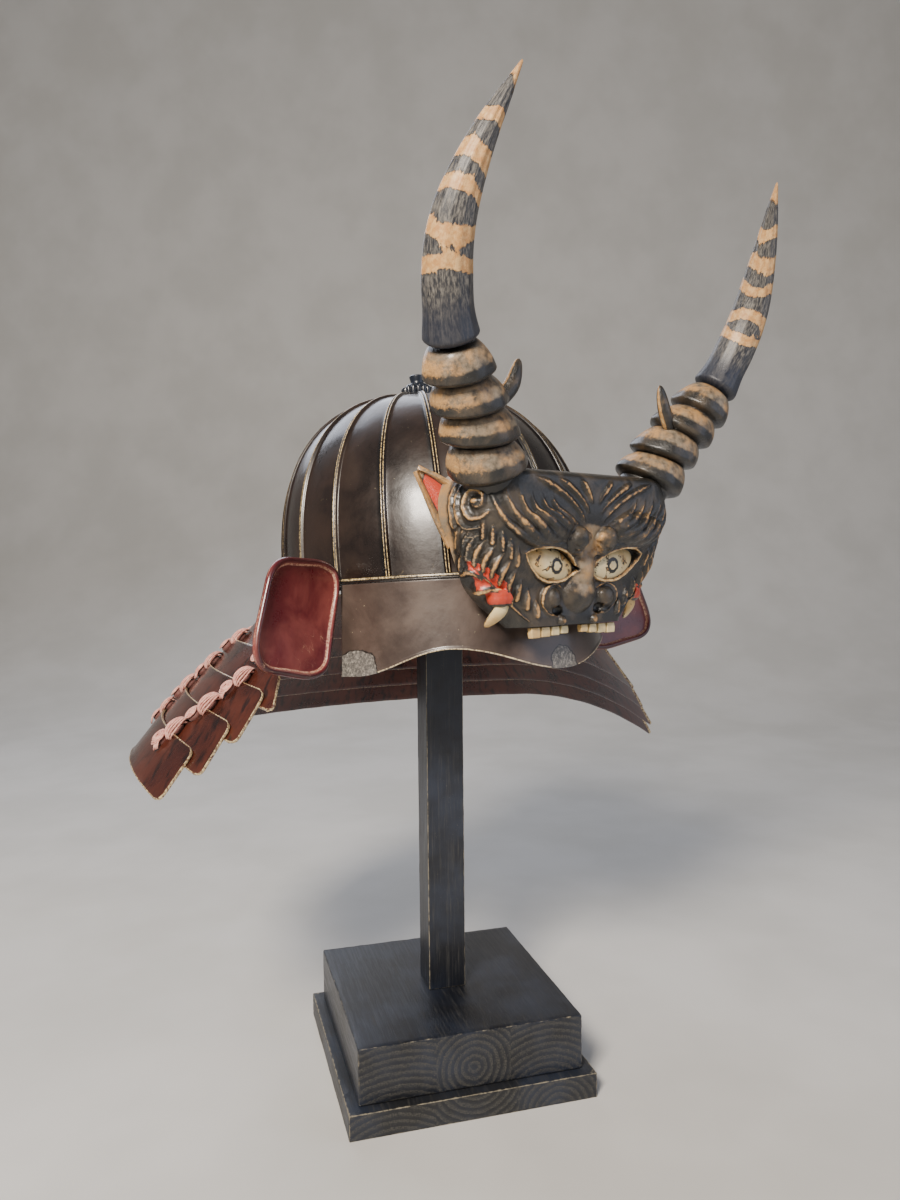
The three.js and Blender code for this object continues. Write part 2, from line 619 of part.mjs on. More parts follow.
/** Pointed leaf of an ear, dished towards the front and the side. */
function earGeometry() {
  const [low, high, tip] = [EAR.low, EAR.high, EAR.tip].map((p) => vec(...p));
  const normal = high.clone().sub(low).cross(tip.clone().sub(low)).normalize();
  if (normal.y > 0) normal.negate();
  const upwards = high.clone().sub(low).normalize();
  const grid = (height) => [0, 0.25, 0.5, 0.75, 0.93].map((u) => [0, 0.25, 0.5, 0.75, 1].map((v) => {
    const point = blend(blend(low, high, v), tip, u);
    const bow = 4 * v * (1 - v) * EAR.dish * (1 - u * 0.8);
    const belly = Math.sin(Math.PI * u) * 4 * (v - 0.5);
    return point.addScaledVector(normal, height - bow).addScaledVector(upwards, belly);
  }));
  return sheet(grid(0), grid(-EAR.wall));
}

/** Upper teeth of one side, as a notched bar under the lip. */
function teethGeometry() {
  const row = HEAD_ROWS.at(-1);
  const count = 12;
  const loops = [];
  for (let k = 0; k <= count; k += 1) {
    const x = lerp(TEETH.from, TEETH.to, k / count);
    const bend = Math.max(0, x - (row.half - row.corner)) / row.corner;
    const y = row.front + TEETH.inset + row.corner * (1 - Math.sqrt(Math.max(0, 1 - bend ** 2)));
    const bottom = TEETH.top - TEETH.drop * (k % 3 === 0 ? 0.6 : 1);
    const inner = y + TEETH.depth;
    loops.push([vec(x, y, TEETH.top), vec(x, y, bottom), vec(x, inner, bottom), vec(x, inner, TEETH.top)]);
  }
  const middle = (loop) => blend(loop[0], loop[2], 0.5);
  return skin(loops, middle(loops[0]), middle(loops.at(-1)));
}

function crestPieces() {
  const cut = (body, tools) => tools.reduce((left, tool) => left.subtract(tool), body);
  const around = [headForm(GAP), ...headRelief(GAP)];
  const eyes = [-1, 1].map((side) => solid(eyeGeometry(side, GAP)));
  const carved = headRelief(0).reduce((body, lump) => body.add(lump), headForm(0));
  const head = cut(carved, [headHollow(), ...eyes]);

  const root = hornLoops(0, HORN_SPLIT, true);
  const lower = solid(skin(root.loops, root.start, root.end));
  const smooth = hornLoops(HORN_SPLIT, (HORN_PATH.length - 1) * HORN_STEPS, false);
  const upper = solid(skin(smooth.loops, smooth.start, smooth.end));
  const nub = solid(spike(NUB, NUB.radius, NUB.radius));
  const fang = solid(spike(FANG, FANG.width, FANG.depth));
  const swell = root.loops.map((loop) => {
    const centre = loop.reduce((sum, p) => sum.add(p), vec(0, 0, 0)).divideScalar(loop.length);
    return loop.map((p) => p.clone().add(p.clone().sub(centre).setLength(GAP)));
  });
  const along = root.end.clone().sub(blend(root.start, root.end, 0.9)).setLength(GAP);
  const grown = solid(skin(swell, root.start, root.end.clone().add(along)));
  return [
    piece('crest_head', fromSolid(head), FINISH.carvedLacquer),
    piece('eye_left', eyeGeometry(1, 0), FINISH.eyePaint),
    piece('eye_right', eyeGeometry(-1, 0), FINISH.eyePaint),
    ...pair('horn_root', fromSolid(cut(lower, around)), FINISH.carvedLacquer),
    ...pair('horn', fromSolid(upper.translate(along.toArray()).subtract(grown)), FINISH.hornLacquer),
    ...pair('horn_nub', fromSolid(nub.subtract(grown)), FINISH.carvedLacquer),
    ...pair('ear', fromSolid(cut(solid(earGeometry()), around)), FINISH.carvedLacquer),
    ...pair('fang', fromSolid(cut(fang, around)), FINISH.ivory),
    ...pair('teeth', teethGeometry(), FINISH.ivory),
  ];
}

/** Plain hidden prong that carries the crest on the bowl's front. */
function prongGeometry() {
  const { width, low, high, front, back } = PRONG;
  const bar = new THREE.BoxGeometry(width, back - front, high - low);
  return bar.translate(0, (front + back) / 2, (low + high) / 2);
}

// ---------- assembly ----------
const kabuto = new THREE.Group();
const helmet = new THREE.Group();
helmet.rotation.order = 'YXZ';
helmet.rotation.set(rad(-HELMET.tiltBack), rad(HELMET.roll), 0);
helmet.position.z = HELMET.height;

helmet.add(piece('bowl', bowlGeometry(), FINISH.bowlLacquer));
helmet.add(piece('rim_band', rimBandGeometry(), FINISH.bowlLacquer));
helmet.add(...finialPieces());
helmet.add(piece('visor', visorGeometry(), FINISH.visorLacquer));
helmet.add(...pair('side_plate', sidePlateGeometry(), FINISH.redLacquer));
LAMES.forEach((_, i) => helmet.add(piece(`guard_lame_${i + 1}`, lameGeometry(i), FINISH.lameLacquer)));
for (let k = 0; k < LACE.columns; k += 1) {
  helmet.add(piece(`lacing_${k + 1}`, laceGeometry(k), FINISH.silk));
}
helmet.add(...crestPieces());
helmet.add(piece('crest_prong', prongGeometry(), FINISH.bowlLacquer));

helmet.updateMatrix();
const room = bowlFill(-BOWL.wall - 0.5, 40, INNER_RISES).applyMatrix4(helmet.matrix);
kabuto.add(...standPieces(solid(room)));
kabuto.add(helmet);

export default kabuto;
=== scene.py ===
"""Kabuto helmet with a horned beast-head crest on its wooden display stand.

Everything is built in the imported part's frame: metres, +Z up, the helmet faces -Y and its left side is +X.
Sizes in the classes are millimetres. Helmet pieces are laid out in the helmet's own upright frame, whose
origin is the middle of the bowl's rim, and HelmetPose then leans them back and sets them on the stand.
"""
import logging
import math
from dataclasses import dataclass
from enum import Enum
from typing import Any, Callable, Sequence

import bpy
import numpy as np
from mathutils import Matrix, Vector
from mathutils.kdtree import KDTree


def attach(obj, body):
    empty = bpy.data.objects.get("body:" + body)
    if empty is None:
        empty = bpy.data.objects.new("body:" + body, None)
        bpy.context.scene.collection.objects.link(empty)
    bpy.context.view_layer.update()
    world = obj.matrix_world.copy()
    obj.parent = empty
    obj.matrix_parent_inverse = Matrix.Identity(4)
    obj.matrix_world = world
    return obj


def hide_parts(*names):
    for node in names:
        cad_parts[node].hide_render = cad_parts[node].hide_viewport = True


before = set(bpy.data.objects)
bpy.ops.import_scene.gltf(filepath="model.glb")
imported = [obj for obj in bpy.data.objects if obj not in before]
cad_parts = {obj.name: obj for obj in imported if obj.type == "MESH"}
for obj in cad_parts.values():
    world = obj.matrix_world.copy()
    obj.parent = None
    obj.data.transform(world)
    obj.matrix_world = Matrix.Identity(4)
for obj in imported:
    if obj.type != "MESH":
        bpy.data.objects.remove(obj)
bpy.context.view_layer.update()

MM = 0.001
LOG = logging.getLogger("kabuto")
Array = np.ndarray
Piece = bpy.types.Object
Finish = bpy.types.Material
Laid = tuple[Array, dict[str, Array]]
Shape = Callable[[Array, Array], Laid]


# ---------- small maths ----------
def linear(code: str) -> tuple[float, float, float, float]:
    """Linear RGBA of an sRGB hex colour.

    Args:
        code: hex code such as #1a1310.

    Returns:
        red, green, blue and alpha.
    """
    parts = [int(code[i:i + 2], 16) / 255 for i in (1, 3, 5)]
    red, green, blue = [c / 12.92 if c <= 0.04045 else ((c + 0.055) / 1.055) ** 2.4 for c in parts]
    return red, green, blue, 1.0


def smooth_step(low: float, high: float, value: Array) -> Array:
    """0 below low, 1 above high, and an eased slope between."""
    k = np.clip((value - low) / (high - low), 0, 1)
    return k * k * (3 - 2 * k)


def flowing(knots: Array, values: Array, at: Array) -> Array:
    """Smooth curve through values.

    Args:
        knots: rising positions of the known values.
        values: one row of numbers for each knot.
        at: positions to read, of any shape.

    Returns:
        The curve's values, with the numbers on the last axis.
    """
    values = np.asarray(values, float).reshape(len(knots), -1)
    slope = np.gradient(values, knots, axis=0)
    i = np.clip(np.searchsorted(knots, at, side="right") - 1, 0, len(knots) - 2)
    span = (knots[i + 1] - knots[i])[..., None]
    k = (at - knots[i])[..., None] / span
    a, b, c, d = values[i], values[i + 1], slope[i] * span, slope[i + 1] * span
    return (a * (2 * k**3 - 3 * k**2 + 1) + b * (3 * k**2 - 2 * k**3)
            + c * (k**3 - 2 * k**2 + k) + d * (k**3 - k**2))


def unit(vectors: Array) -> Array:
    """Vectors of length one."""
    return vectors / np.maximum(np.linalg.norm(vectors, axis=-1, keepdims=True), 1e-9)


def cosine_step(k: Array) -> Array:
    """An eased rise from 0 to 1 along half a cosine."""
    return (1 - np.cos(math.pi * k)) / 2


def run_length(points: Array, extra: float = 0.0) -> Array:
    """Distance gone at each point of a line, with something added at every step."""
    return np.concatenate([[0], np.cumsum(np.linalg.norm(np.diff(points, axis=0), axis=1) + extra)])


def blurred(field_values: Array, times: int) -> Array:
    """A grid of numbers softened by its neighbours, several times over.

    Args:
        field_values: numbers on a grid.
        times: how many passes.

    Returns:
        the softened grid.
    """
    out = field_values.copy()
    for _ in range(times):
        for axis in (0, 1):
            padded = np.concatenate([out.take([0], axis), out, out.take([-1], axis)], axis)
            size = out.shape[axis]
            out = (padded.take(range(size), axis) + 2 * out + padded.take(range(2, size + 2), axis)) / 4
    return out


def grid_normals(points: Array) -> Array:
    """Unit normals of a grid of points, across the rows and the columns.

    Args:
        points: points in millimetres.

    Returns:
        one for each point.
    """
    along = np.gradient(points, axis=1)
    down = np.gradient(points, axis=0)
    return unit(np.cross(along, down))


# ---------- mesh work ----------
def deselect() -> None:
    """Nothing stays selected."""
    bpy.ops.object.select_all(action="DESELECT")


def pick(piece: Piece) -> None:
    """Makes one object the only selected and the active one.

    Args:
        piece: the mesh.
    """
    deselect()
    piece.select_set(True)
    bpy.context.view_layer.objects.active = piece


def vertex_array(piece: Piece) -> Array:
    """All vertex positions of a mesh, in metres.

    Args:
        piece: the mesh.

    Returns:
        one row for each vertex.
    """
    flat = np.empty(len(piece.data.vertices) * 3)
    piece.data.vertices.foreach_get("co", flat)
    return flat.reshape(-1, 3)


def set_vertices(piece: Piece, points: Array) -> None:
    """Moves every vertex of a mesh to a new place, in metres."""
    piece.data.vertices.foreach_set("co", np.ascontiguousarray(points, float).ravel())
    piece.data.update()


def paint_points(piece: Piece, name: str, values: Array) -> None:
    """Stores one number for each vertex, for the finish to read."""
    layer = piece.data.attributes.get(name) or piece.data.attributes.new(name, "FLOAT", "POINT")
    layer.data.foreach_set("value", np.ascontiguousarray(values, np.float32).ravel())


def apply_modifier(piece: Piece, kind: str, **settings: Any) -> None:
    """Adds one modifier with its settings and applies it.

    Args:
        piece: the mesh.
        kind: the modifier's type.
        settings: its settings by name.
    """
    pick(piece)
    modifier = piece.modifiers.new(kind.lower(), kind)
    for key, value in settings.items():
        setattr(modifier, key, value)
    bpy.ops.object.modifier_apply(modifier=modifier.name)


def smooth_shade(piece: Piece, angle: float = 40) -> None:
    """Smooth shading with creases over an angle in degrees."""
    pick(piece)
    bpy.ops.object.shade_smooth_by_angle(angle=math.radians(angle))


def level_turn(angle: float) -> Array:
    """Rotation about the upright axis by an angle in radians."""
    c, s = math.cos(angle), math.sin(angle)
    return np.array([[c, -s, 0], [s, c, 0], [0, 0, 1]])


def open_mesh(piece: Piece) -> None:
    """Enters edit mode on one mesh, with all of it selected.

    Args:
        piece: the mesh.
    """
    pick(piece)
    bpy.ops.object.mode_set(mode="EDIT")
    bpy.ops.mesh.select_all(action="SELECT")


def round_edges(piece: Piece, width: float, segments: int = 2, angle: float = 50) -> None:
    """Rounds the edges sharper than an angle in degrees, by a width in millimetres."""
    apply_modifier(piece, "BEVEL", width=width * MM, segments=segments, limit_method="ANGLE",
                   angle_limit=math.radians(angle))


def mend(piece: Piece, weld: float = 0.0) -> None:
    """Welds seams and poles closer than a distance in millimetres, and turns all faces outwards.

    Args:
        piece: the mesh.
        weld: longest gap to weld, or 0.
    """
    open_mesh(piece)
    if weld:
        bpy.ops.mesh.remove_doubles(threshold=weld * MM)
    bpy.ops.mesh.normals_make_consistent(inside=False)
    bpy.ops.object.mode_set(mode="OBJECT")


def join(pieces: Sequence[Piece], name: str) -> Piece:
    """Joins several meshes into one object.

    Args:
        pieces: the meshes, the one that takes in the others first.
        name: the new name.

    Returns:
        the joined mesh.
    """
    pick(pieces[0])
    for other in pieces[1:]:
        other.select_set(True)
    bpy.ops.object.join()
    pieces[0].name = pieces[0].data.name = name
    return pieces[0]


def shaped_grid(name: str, columns: int, rows: int, shape: Shape) -> Piece:
    """A grid whose vertices are laid out by a function.

    Args:
        name: the piece's name.
        columns: faces along u.
        rows: faces along v.
        shape: takes u and v from 0 to 1 as two arrays, and gives points in millimetres in the part's frame
            and named numbers for each vertex.

    Returns:
        The new mesh object, open and not yet shaded.
    """
    deselect()
    bpy.ops.mesh.primitive_grid_add(x_subdivisions=columns, y_subdivisions=rows, size=2, location=(0, 0, 0))
    piece = bpy.context.object
    piece.name = piece.data.name = name
    flat = vertex_array(piece)
    i = np.rint((flat[:, 0] + 1) / 2 * columns).astype(int)
    j = np.rint((flat[:, 1] + 1) / 2 * rows).astype(int)
    u, v = np.meshgrid(np.linspace(0, 1, columns + 1), np.linspace(0, 1, rows + 1))
    points, numbers = shape(u, v)
    set_vertices(piece, points[j, i] * MM)
    for key, values in numbers.items():
        paint_points(piece, key, values[j, i])
    return piece


def thick_sheet(piece: Piece, wall: float, centre: Sequence[float], bevel: float = 0.5) -> None:
    """Gives an open sheet its wall, inwards from the side facing away from a centre, and rounds its edges.

    Args:
        piece: the mesh.
        wall: its thickness in millimetres.
        centre: a point inside, in millimetres.
        bevel: width of the rounding.
    """
    mend(piece)
    middle = Vector(centre) * MM
    votes = sum(face.normal.dot(face.center - middle) * face.area for face in piece.data.polygons)
    if votes < 0:
        open_mesh(piece)
        bpy.ops.mesh.flip_normals()
        bpy.ops.object.mode_set(mode="OBJECT")
    apply_modifier(piece, "SOLIDIFY", thickness=wall * MM, offset=-1)
    round_edges(piece, bevel)
    smooth_shade(piece)


def mirrored_copy(piece: Piece, name: str) -> Piece:
    """The same mesh for the helmet's other side, in the helmet's upright frame.

    Args:
        piece: the mesh.
        name: the new name.

    Returns:
        the new mesh.
    """
    pick(piece)
    bpy.ops.object.duplicate()
    other = bpy.context.object
    other.name = other.data.name = name
    upright = POSE.lift(vertex_array(other) / MM)
    upright[:, 0] *= -1
    set_vertices(other, POSE.place(upright) * MM)
    mend(other)
    return other


# ---------- helmet pose ----------
@dataclass(frozen=True)
class HelmetPose:
    """How the helmet leans back and rolls on the stand, and its rim's height."""

    height: float = 389.0
    tilt_back: float = 4.5
    roll: float = 0.93

    def turn(self) -> Array:
        """Rotation from the upright helmet frame to the part's frame.

        Returns:
            the 3 by 3 matrix.
        """
        t, r = math.radians(self.tilt_back), math.radians(self.roll)
        lean = np.array([[1, 0, 0], [0, math.cos(t), math.sin(t)], [0, -math.sin(t), math.cos(t)]])
        roll = np.array([[math.cos(r), 0, math.sin(r)], [0, 1, 0], [-math.sin(r), 0, math.cos(r)]])
        return roll @ lean

    def place(self, points: Array) -> Array:
        """Upright helmet points to the part's frame, both in millimetres."""
        return points @ self.turn().T + np.array([0, 0, self.height])

    def lift(self, points: Array) -> Array:
        """Points in the part's frame back to the upright helmet frame, both in millimetres."""
        return (points - np.array([0, 0, self.height])) @ self.turn()


POSE = HelmetPose()


# ---------- node materials ----------
PATTERNS = ("TexNoise", "TexVoronoi")
EASED = {"interpolation_type": "SMOOTHSTEP"}
TINTS = {"data_type": "RGBA"}
TIMES = {"operation": "MULTIPLY"}
PLUS = {"operation": "ADD"}
TIMES_PLUS = {"operation": "MULTIPLY_ADD"}


def cloudy(size: float, detail: float = 4, rough: float = 0.55, twist: float = 0) -> dict[str, float]:
    """Numbers of a cloudy pattern whose features have a size in millimetres."""
    return {"Scale": 1 / (size * MM), "Detail": detail, "Roughness": rough, "Distortion": twist}


class Surface:
    """A node material under construction, read from object coordinates in metres."""

    def __init__(self, name: str, **shader: Any) -> None:
        """Starts a principled shader with its fixed values.

        Args:
            name: the new name.
            shader: fixed values of the shader's inputs.
        """
        self.material = bpy.data.materials.new(name)
        self.material.use_nodes = True
        self.tree = self.material.node_tree
        self.tree.nodes.clear()
        self.shader = self.add("BsdfPrincipled", {k.replace("_", " "): v for k, v in shader.items()})
        self.add("OutputMaterial", {"Surface": self.shader.outputs[0]})
        self.where = self.add("TexCoord").outputs["Object"]

    def link(self, value: Any, socket: bpy.types.NodeSocket) -> None:
        """Sets one socket.

        Args:
            value: a node (its first output in use is linked), a link, a hex colour or a plain value.
            socket: the socket.
        """
        if isinstance(value, bpy.types.Node):
            value = next(output for output in value.outputs if output.enabled)
        if isinstance(value, bpy.types.NodeSocket):
            self.tree.links.new(value, socket)
        else:
            socket.default_value = linear(value) if isinstance(value, str) else value

    def add(self, kind: str, inputs: Sequence[Any] | dict[Any, Any] = (),
            **settings: Any) -> bpy.types.Node:
        """One node; a pattern reads the object's own coordinates unless it is given others.

        Args:
            kind: the node's type, without its prefix.
            inputs: what goes into its sockets, in order or by name.
            settings: its settings by name.

        Returns:
            the node.
        """
        node = self.tree.nodes.new("ShaderNode" + kind)
        for key, value in settings.items():
            setattr(node, key, value)
        given = inputs if isinstance(inputs, dict) else dict(enumerate(inputs))
        if kind in PATTERNS:
            given = {"Vector": self.where, **given}
        for key, value in given.items():
            self.link(value, node.inputs[key])
        return node

    def done(self, colour: Any, roughness: Any, normal: Any) -> Finish:
        """Links the finished colour, roughness and relief.

        Args:
            colour: its colour.
            roughness: its roughness.
            normal: its relief.

        Returns:
            the material.
        """
        for key, value in (("Base Color", colour), ("Roughness", roughness), ("Normal", normal)):
            self.link(value, self.shader.inputs[key])
        return self.material


@dataclass(frozen=True)
class Lacquer:
    """Brushed urushi lacquer over iron: a deep dark gloss with clouds, and pale where it is worn.

    Fine scratches, specks, streaks and flakes down to the iron are added where a piece has them. The vertices
    carry `worn` (0 to 1, rubbed edges, and on the bowl's rib crests partly a painted highlight) and `shade`
    (0 to 1, painted shade in grooves, recesses and under overlaps), on the visor `chip` (how likely the coat
    has flaked) and on the lames `run` and `fall` (round and down, for the streaks).
    """

    name: str
    coat: str
    cloud: str
    worn: str
    dark: str = "#0b0909"
    roughness: float = 0.3
    metallic: float = 0.0
    cloud_size: float = 45.0
    worn_share: float = 1.0
    scratches: float = 0.0
    specks: float = 0.0
    streaks: float = 0.0
    chips: bool = False

    def material(self) -> Finish:
        """Builds the node material.

        Returns:
            the material.
        """
        s = Surface(self.name, Metallic=self.metallic, IOR=1.5, Coat_Weight=0.35, Coat_Roughness=0.16)
        cloud = s.add("TexNoise", cloudy(self.cloud_size, 5, 0.6, 0.4))
        colour = s.add("Mix", {0: s.add("MapRange", [cloud, 0.34, 0.68], **EASED), 6: self.coat,
            7: self.cloud}, **TINTS)
        fine = s.add("TexNoise", cloudy(1.4, 3, 0.6))
        roughness = s.add("MapRange", [cloud, 0.3, 0.7, self.roughness - 0.06, self.roughness + 0.1],
            **EASED)
        if self.streaks:
            run = s.add("Math", [s.add("TexNoise", cloudy(30, 3)), 0.05,
                s.add("Attribute", attribute_name="run").outputs["Fac"]], **TIMES_PLUS)
            fall = s.add("Math", [s.add("Attribute", attribute_name="fall").outputs["Fac"], 1.5], **TIMES)
            line = s.add("CombineXYZ", {0: s.add("Math", [run, 60.0], **TIMES), 1: fall})
            streak = s.add("TexNoise", {"Vector": line.outputs[0], "Scale": 1.4, "Detail": 4.0}).outputs[0]
            colour = s.add("Mix", {0: s.add("MapRange", [streak, 0.5, 0.66, 0, self.streaks], **EASED),
                6: colour, 7: self.dark}, **TINTS)
            colour = s.add("Mix", {
                0: s.add("MapRange", [streak, 0.3, 0.42, self.streaks * 0.4, 0], **EASED), 6: colour,
                7: self.cloud}, **TINTS)
        # painted shade: the vertices' shade darkens grooves, recesses and overlaps towards the dark colour
        shade = s.add("Math", [s.add("Attribute", attribute_name="shade").outputs["Fac"], 0.92], **TIMES)
        colour = s.add("Mix", {0: shade, 6: colour, 7: self.dark}, **TINTS)
        height = s.add("TexNoise", cloudy(7, 3, 0.5))
        if self.scratches:
            bent = s.add("TexNoise", cloudy(22, 2, 0.5, 1.8))
            hair = s.add("Math", [s.add("Math", [bent, 0.5], operation="SUBTRACT")], operation="ABSOLUTE")
            where = s.add("MapRange", [s.add("TexNoise", cloudy(33, 2)), 0.5, 0.6], **EASED)
            hair = s.add("Math", [s.add("MapRange", [hair, 0.0035, 0.0, 0, self.scratches], **EASED),
                where], **TIMES)
            colour = s.add("Mix", {0: hair, 6: colour, 7: self.worn}, **TINTS)
        if self.specks:
            dot = s.add("Math", [
                s.add("MapRange", [s.add("TexVoronoi", {"Scale": 1 / (3.1 * MM)}), 0.09, 0.04], **EASED),
                s.add("MapRange", [s.add("TexNoise", cloudy(26, 2)), 0.56, 0.66], **EASED)], **TIMES)
            colour = s.add("Mix", {0: s.add("Math", [dot, self.specks], **TIMES), 6: colour, 7: "#e8dcb4"},
                **TINTS)
        broken = s.add("Math", [s.add("TexNoise", cloudy(14, 2)), 0.7,
            s.add("TexNoise", cloudy(2.6, 4, 0.7))], **TIMES_PLUS)
        edge = s.add("Math", [broken, -0.42, s.add("Attribute", attribute_name="worn").outputs["Fac"]],
            **TIMES_PLUS)
        edge = s.add("MapRange", [edge, 0.12, 0.42, 0, self.worn_share], **EASED)
        bright = s.add("MapRange", [fine, 0.35, 0.65], **EASED)
        rubbed = s.add("Mix", {0: bright, 6: self.worn, 7: self.cloud}, **TINTS)
        colour = s.add("Mix", {0: edge, 6: colour, 7: rubbed}, **TINTS)
        if self.chips:
            reach = s.add("Math", [s.add("TexNoise", cloudy(17, 3, 0.6)), 0.55,
                s.add("Attribute", attribute_name="chip").outputs["Fac"]], **TIMES_PLUS)
            bare = s.add("MapRange", [reach, 0.74, 0.75], **EASED)
            crack = s.add("Math", [s.add("MapRange", [reach, 0.7, 0.738], **EASED),
                s.add("MapRange", [reach, 0.765, 0.745], **EASED)], **TIMES)
            iron = s.add("ValToRGB", {0: s.add("TexNoise", cloudy(2.2, 5, 0.75))})
            tones = ((0.3, "#2d2b2a"), (0.5, "#5d5955"), (0.62, "#8b857c"), (0.75, "#b8b1a4"))
            steps = iron.color_ramp.elements
            while len(steps) < len(tones):
                steps.new(0.5)
            for step, (place, code) in zip(steps, tones):
                step.position = place
                step.color = linear(code)
            colour = s.add("Mix", {0: bare, 6: colour, 7: iron}, **TINTS)
            colour = s.add("Mix", {0: crack, 6: colour, 7: "#15100d"}, **TINTS)
            roughness = s.add("Math", [bare, 0.22, roughness], **TIMES_PLUS)
            depth = s.add("Math", [bare, s.add("MapRange", [fine, 0.2, 0.8, 0.8, 1.6], **EASED)], **TIMES)
            height = s.add("Math", [height, depth], operation="SUBTRACT")
        roughness = s.add("Math", [s.add("MapRange", [fine, 0.4, 0.8], **EASED), 0.06, roughness],
            **TIMES_PLUS)
        normal = s.add("Bump", {"Height": height, "Distance": 0.16 * MM})
        normal = s.add("Bump", {"Height": s.add("TexNoise", cloudy(0.8, 2, 0.6)), "Distance": 0.02 * MM,
            "Normal": normal})
        return s.done(colour, roughness, normal)


@dataclass(frozen=True)
class CarvedLacquer:
    """Black lacquer over carved wood, rubbed to ochre and gilt on the high points.

    The vertices carry `worn` (ridges), `shade` (painted shade in hollows and creases), `tan` (broad rubbed
    ground, and on the horn rings partly painted light on their upper faces) and `red` (vermilion).
    """

    name: str = "carved lacquer"
    black: str = "#1c1b18"
    brown: str = "#4d4234"
    ochre: str = "#b58a55"
    gilt: str = "#dcc08a"
    tan: str = "#8f7f69"
    vermilion: str = "#b8391f"
    roughness: float = 0.36

    def material(self) -> Finish:
        """Builds the node material.

        Returns:
            the material.
        """
        s = Surface(self.name, IOR=1.52, Coat_Weight=0.3, Coat_Roughness=0.2)
        grain = s.add("TexNoise", cloudy(2.2, 5, 0.7))
        cloud = s.add("TexNoise", cloudy(16, 4, 0.6, 0.5))
        colour = s.add("Mix", {0: s.add("MapRange", [cloud, 0.42, 0.66, 0, 0.75], **EASED), 6: self.black,
            7: self.brown}, **TINTS)
        uneven = s.add("Math", [s.add("TexNoise", cloudy(5, 5, 0.6)), 0.9, -0.45], **TIMES_PLUS)
        ground = s.add("Math", [s.add("Attribute", attribute_name="tan").outputs["Fac"], uneven], **PLUS)
        rubbed = s.add("Mix", {0: s.add("MapRange", [cloud, 0.4, 0.7], **EASED), 6: self.tan,
            7: self.ochre}, **TINTS)
        colour = s.add("Mix", {0: s.add("MapRange", [ground, 0.32, 0.75, 0, 0.85], **EASED), 6: colour,
            7: rubbed}, **TINTS)
        rub = s.add("Math", [s.add("Attribute", attribute_name="worn").outputs["Fac"],
            s.add("Math", [grain, 1.1, -0.572], **TIMES_PLUS)], **PLUS)
        rub = s.add("Math", [rub, s.add("Math", [cloud, 0.8, -0.4], **TIMES_PLUS)], **PLUS)
        colour = s.add("Mix", {0: s.add("MapRange", [rub, 0.24, 0.6, 0, 0.94], **EASED), 6: colour,
            7: self.ochre}, **TINTS)
        colour = s.add("Mix", {0: s.add("MapRange", [rub, 0.62, 0.95], **EASED), 6: colour, 7: self.gilt},
            **TINTS)
        # painted shade: hollows, creases, sockets and the mask's inner face darken to near-black
        colour = s.add("Mix", {
            0: s.add("Math", [s.add("Attribute", attribute_name="shade").outputs["Fac"], 0.9], **TIMES),
            6: colour, 7: "#0d0c0b"}, **TINTS)
        red = s.add("Math", [s.add("Attribute", attribute_name="red").outputs["Fac"],
            s.add("Math", [grain, 0.25, -0.125], **TIMES_PLUS)], **PLUS)
        colour = s.add("Mix", {0: s.add("MapRange", [red, 0.46, 0.54], **EASED), 6: colour,
            7: self.vermilion}, **TINTS)
        gloss = s.add("MapRange", [
            s.add("Math", [s.add("Attribute", attribute_name="tan").outputs["Fac"], rub], **PLUS), 0.2,
            0.9, self.roughness - 0.04, self.roughness + 0.24], **EASED)
        normal = s.add("Bump", {"Height": s.add("TexNoise", cloudy(1.1, 4, 0.65)), "Distance": 0.16 * MM})
        normal = s.add("Bump", {"Height": s.add("MapRange", [grain, 0.35, 0.7], **EASED),
            "Distance": 0.12 * MM, "Normal": normal})
        return s.done(colour, gloss, normal)


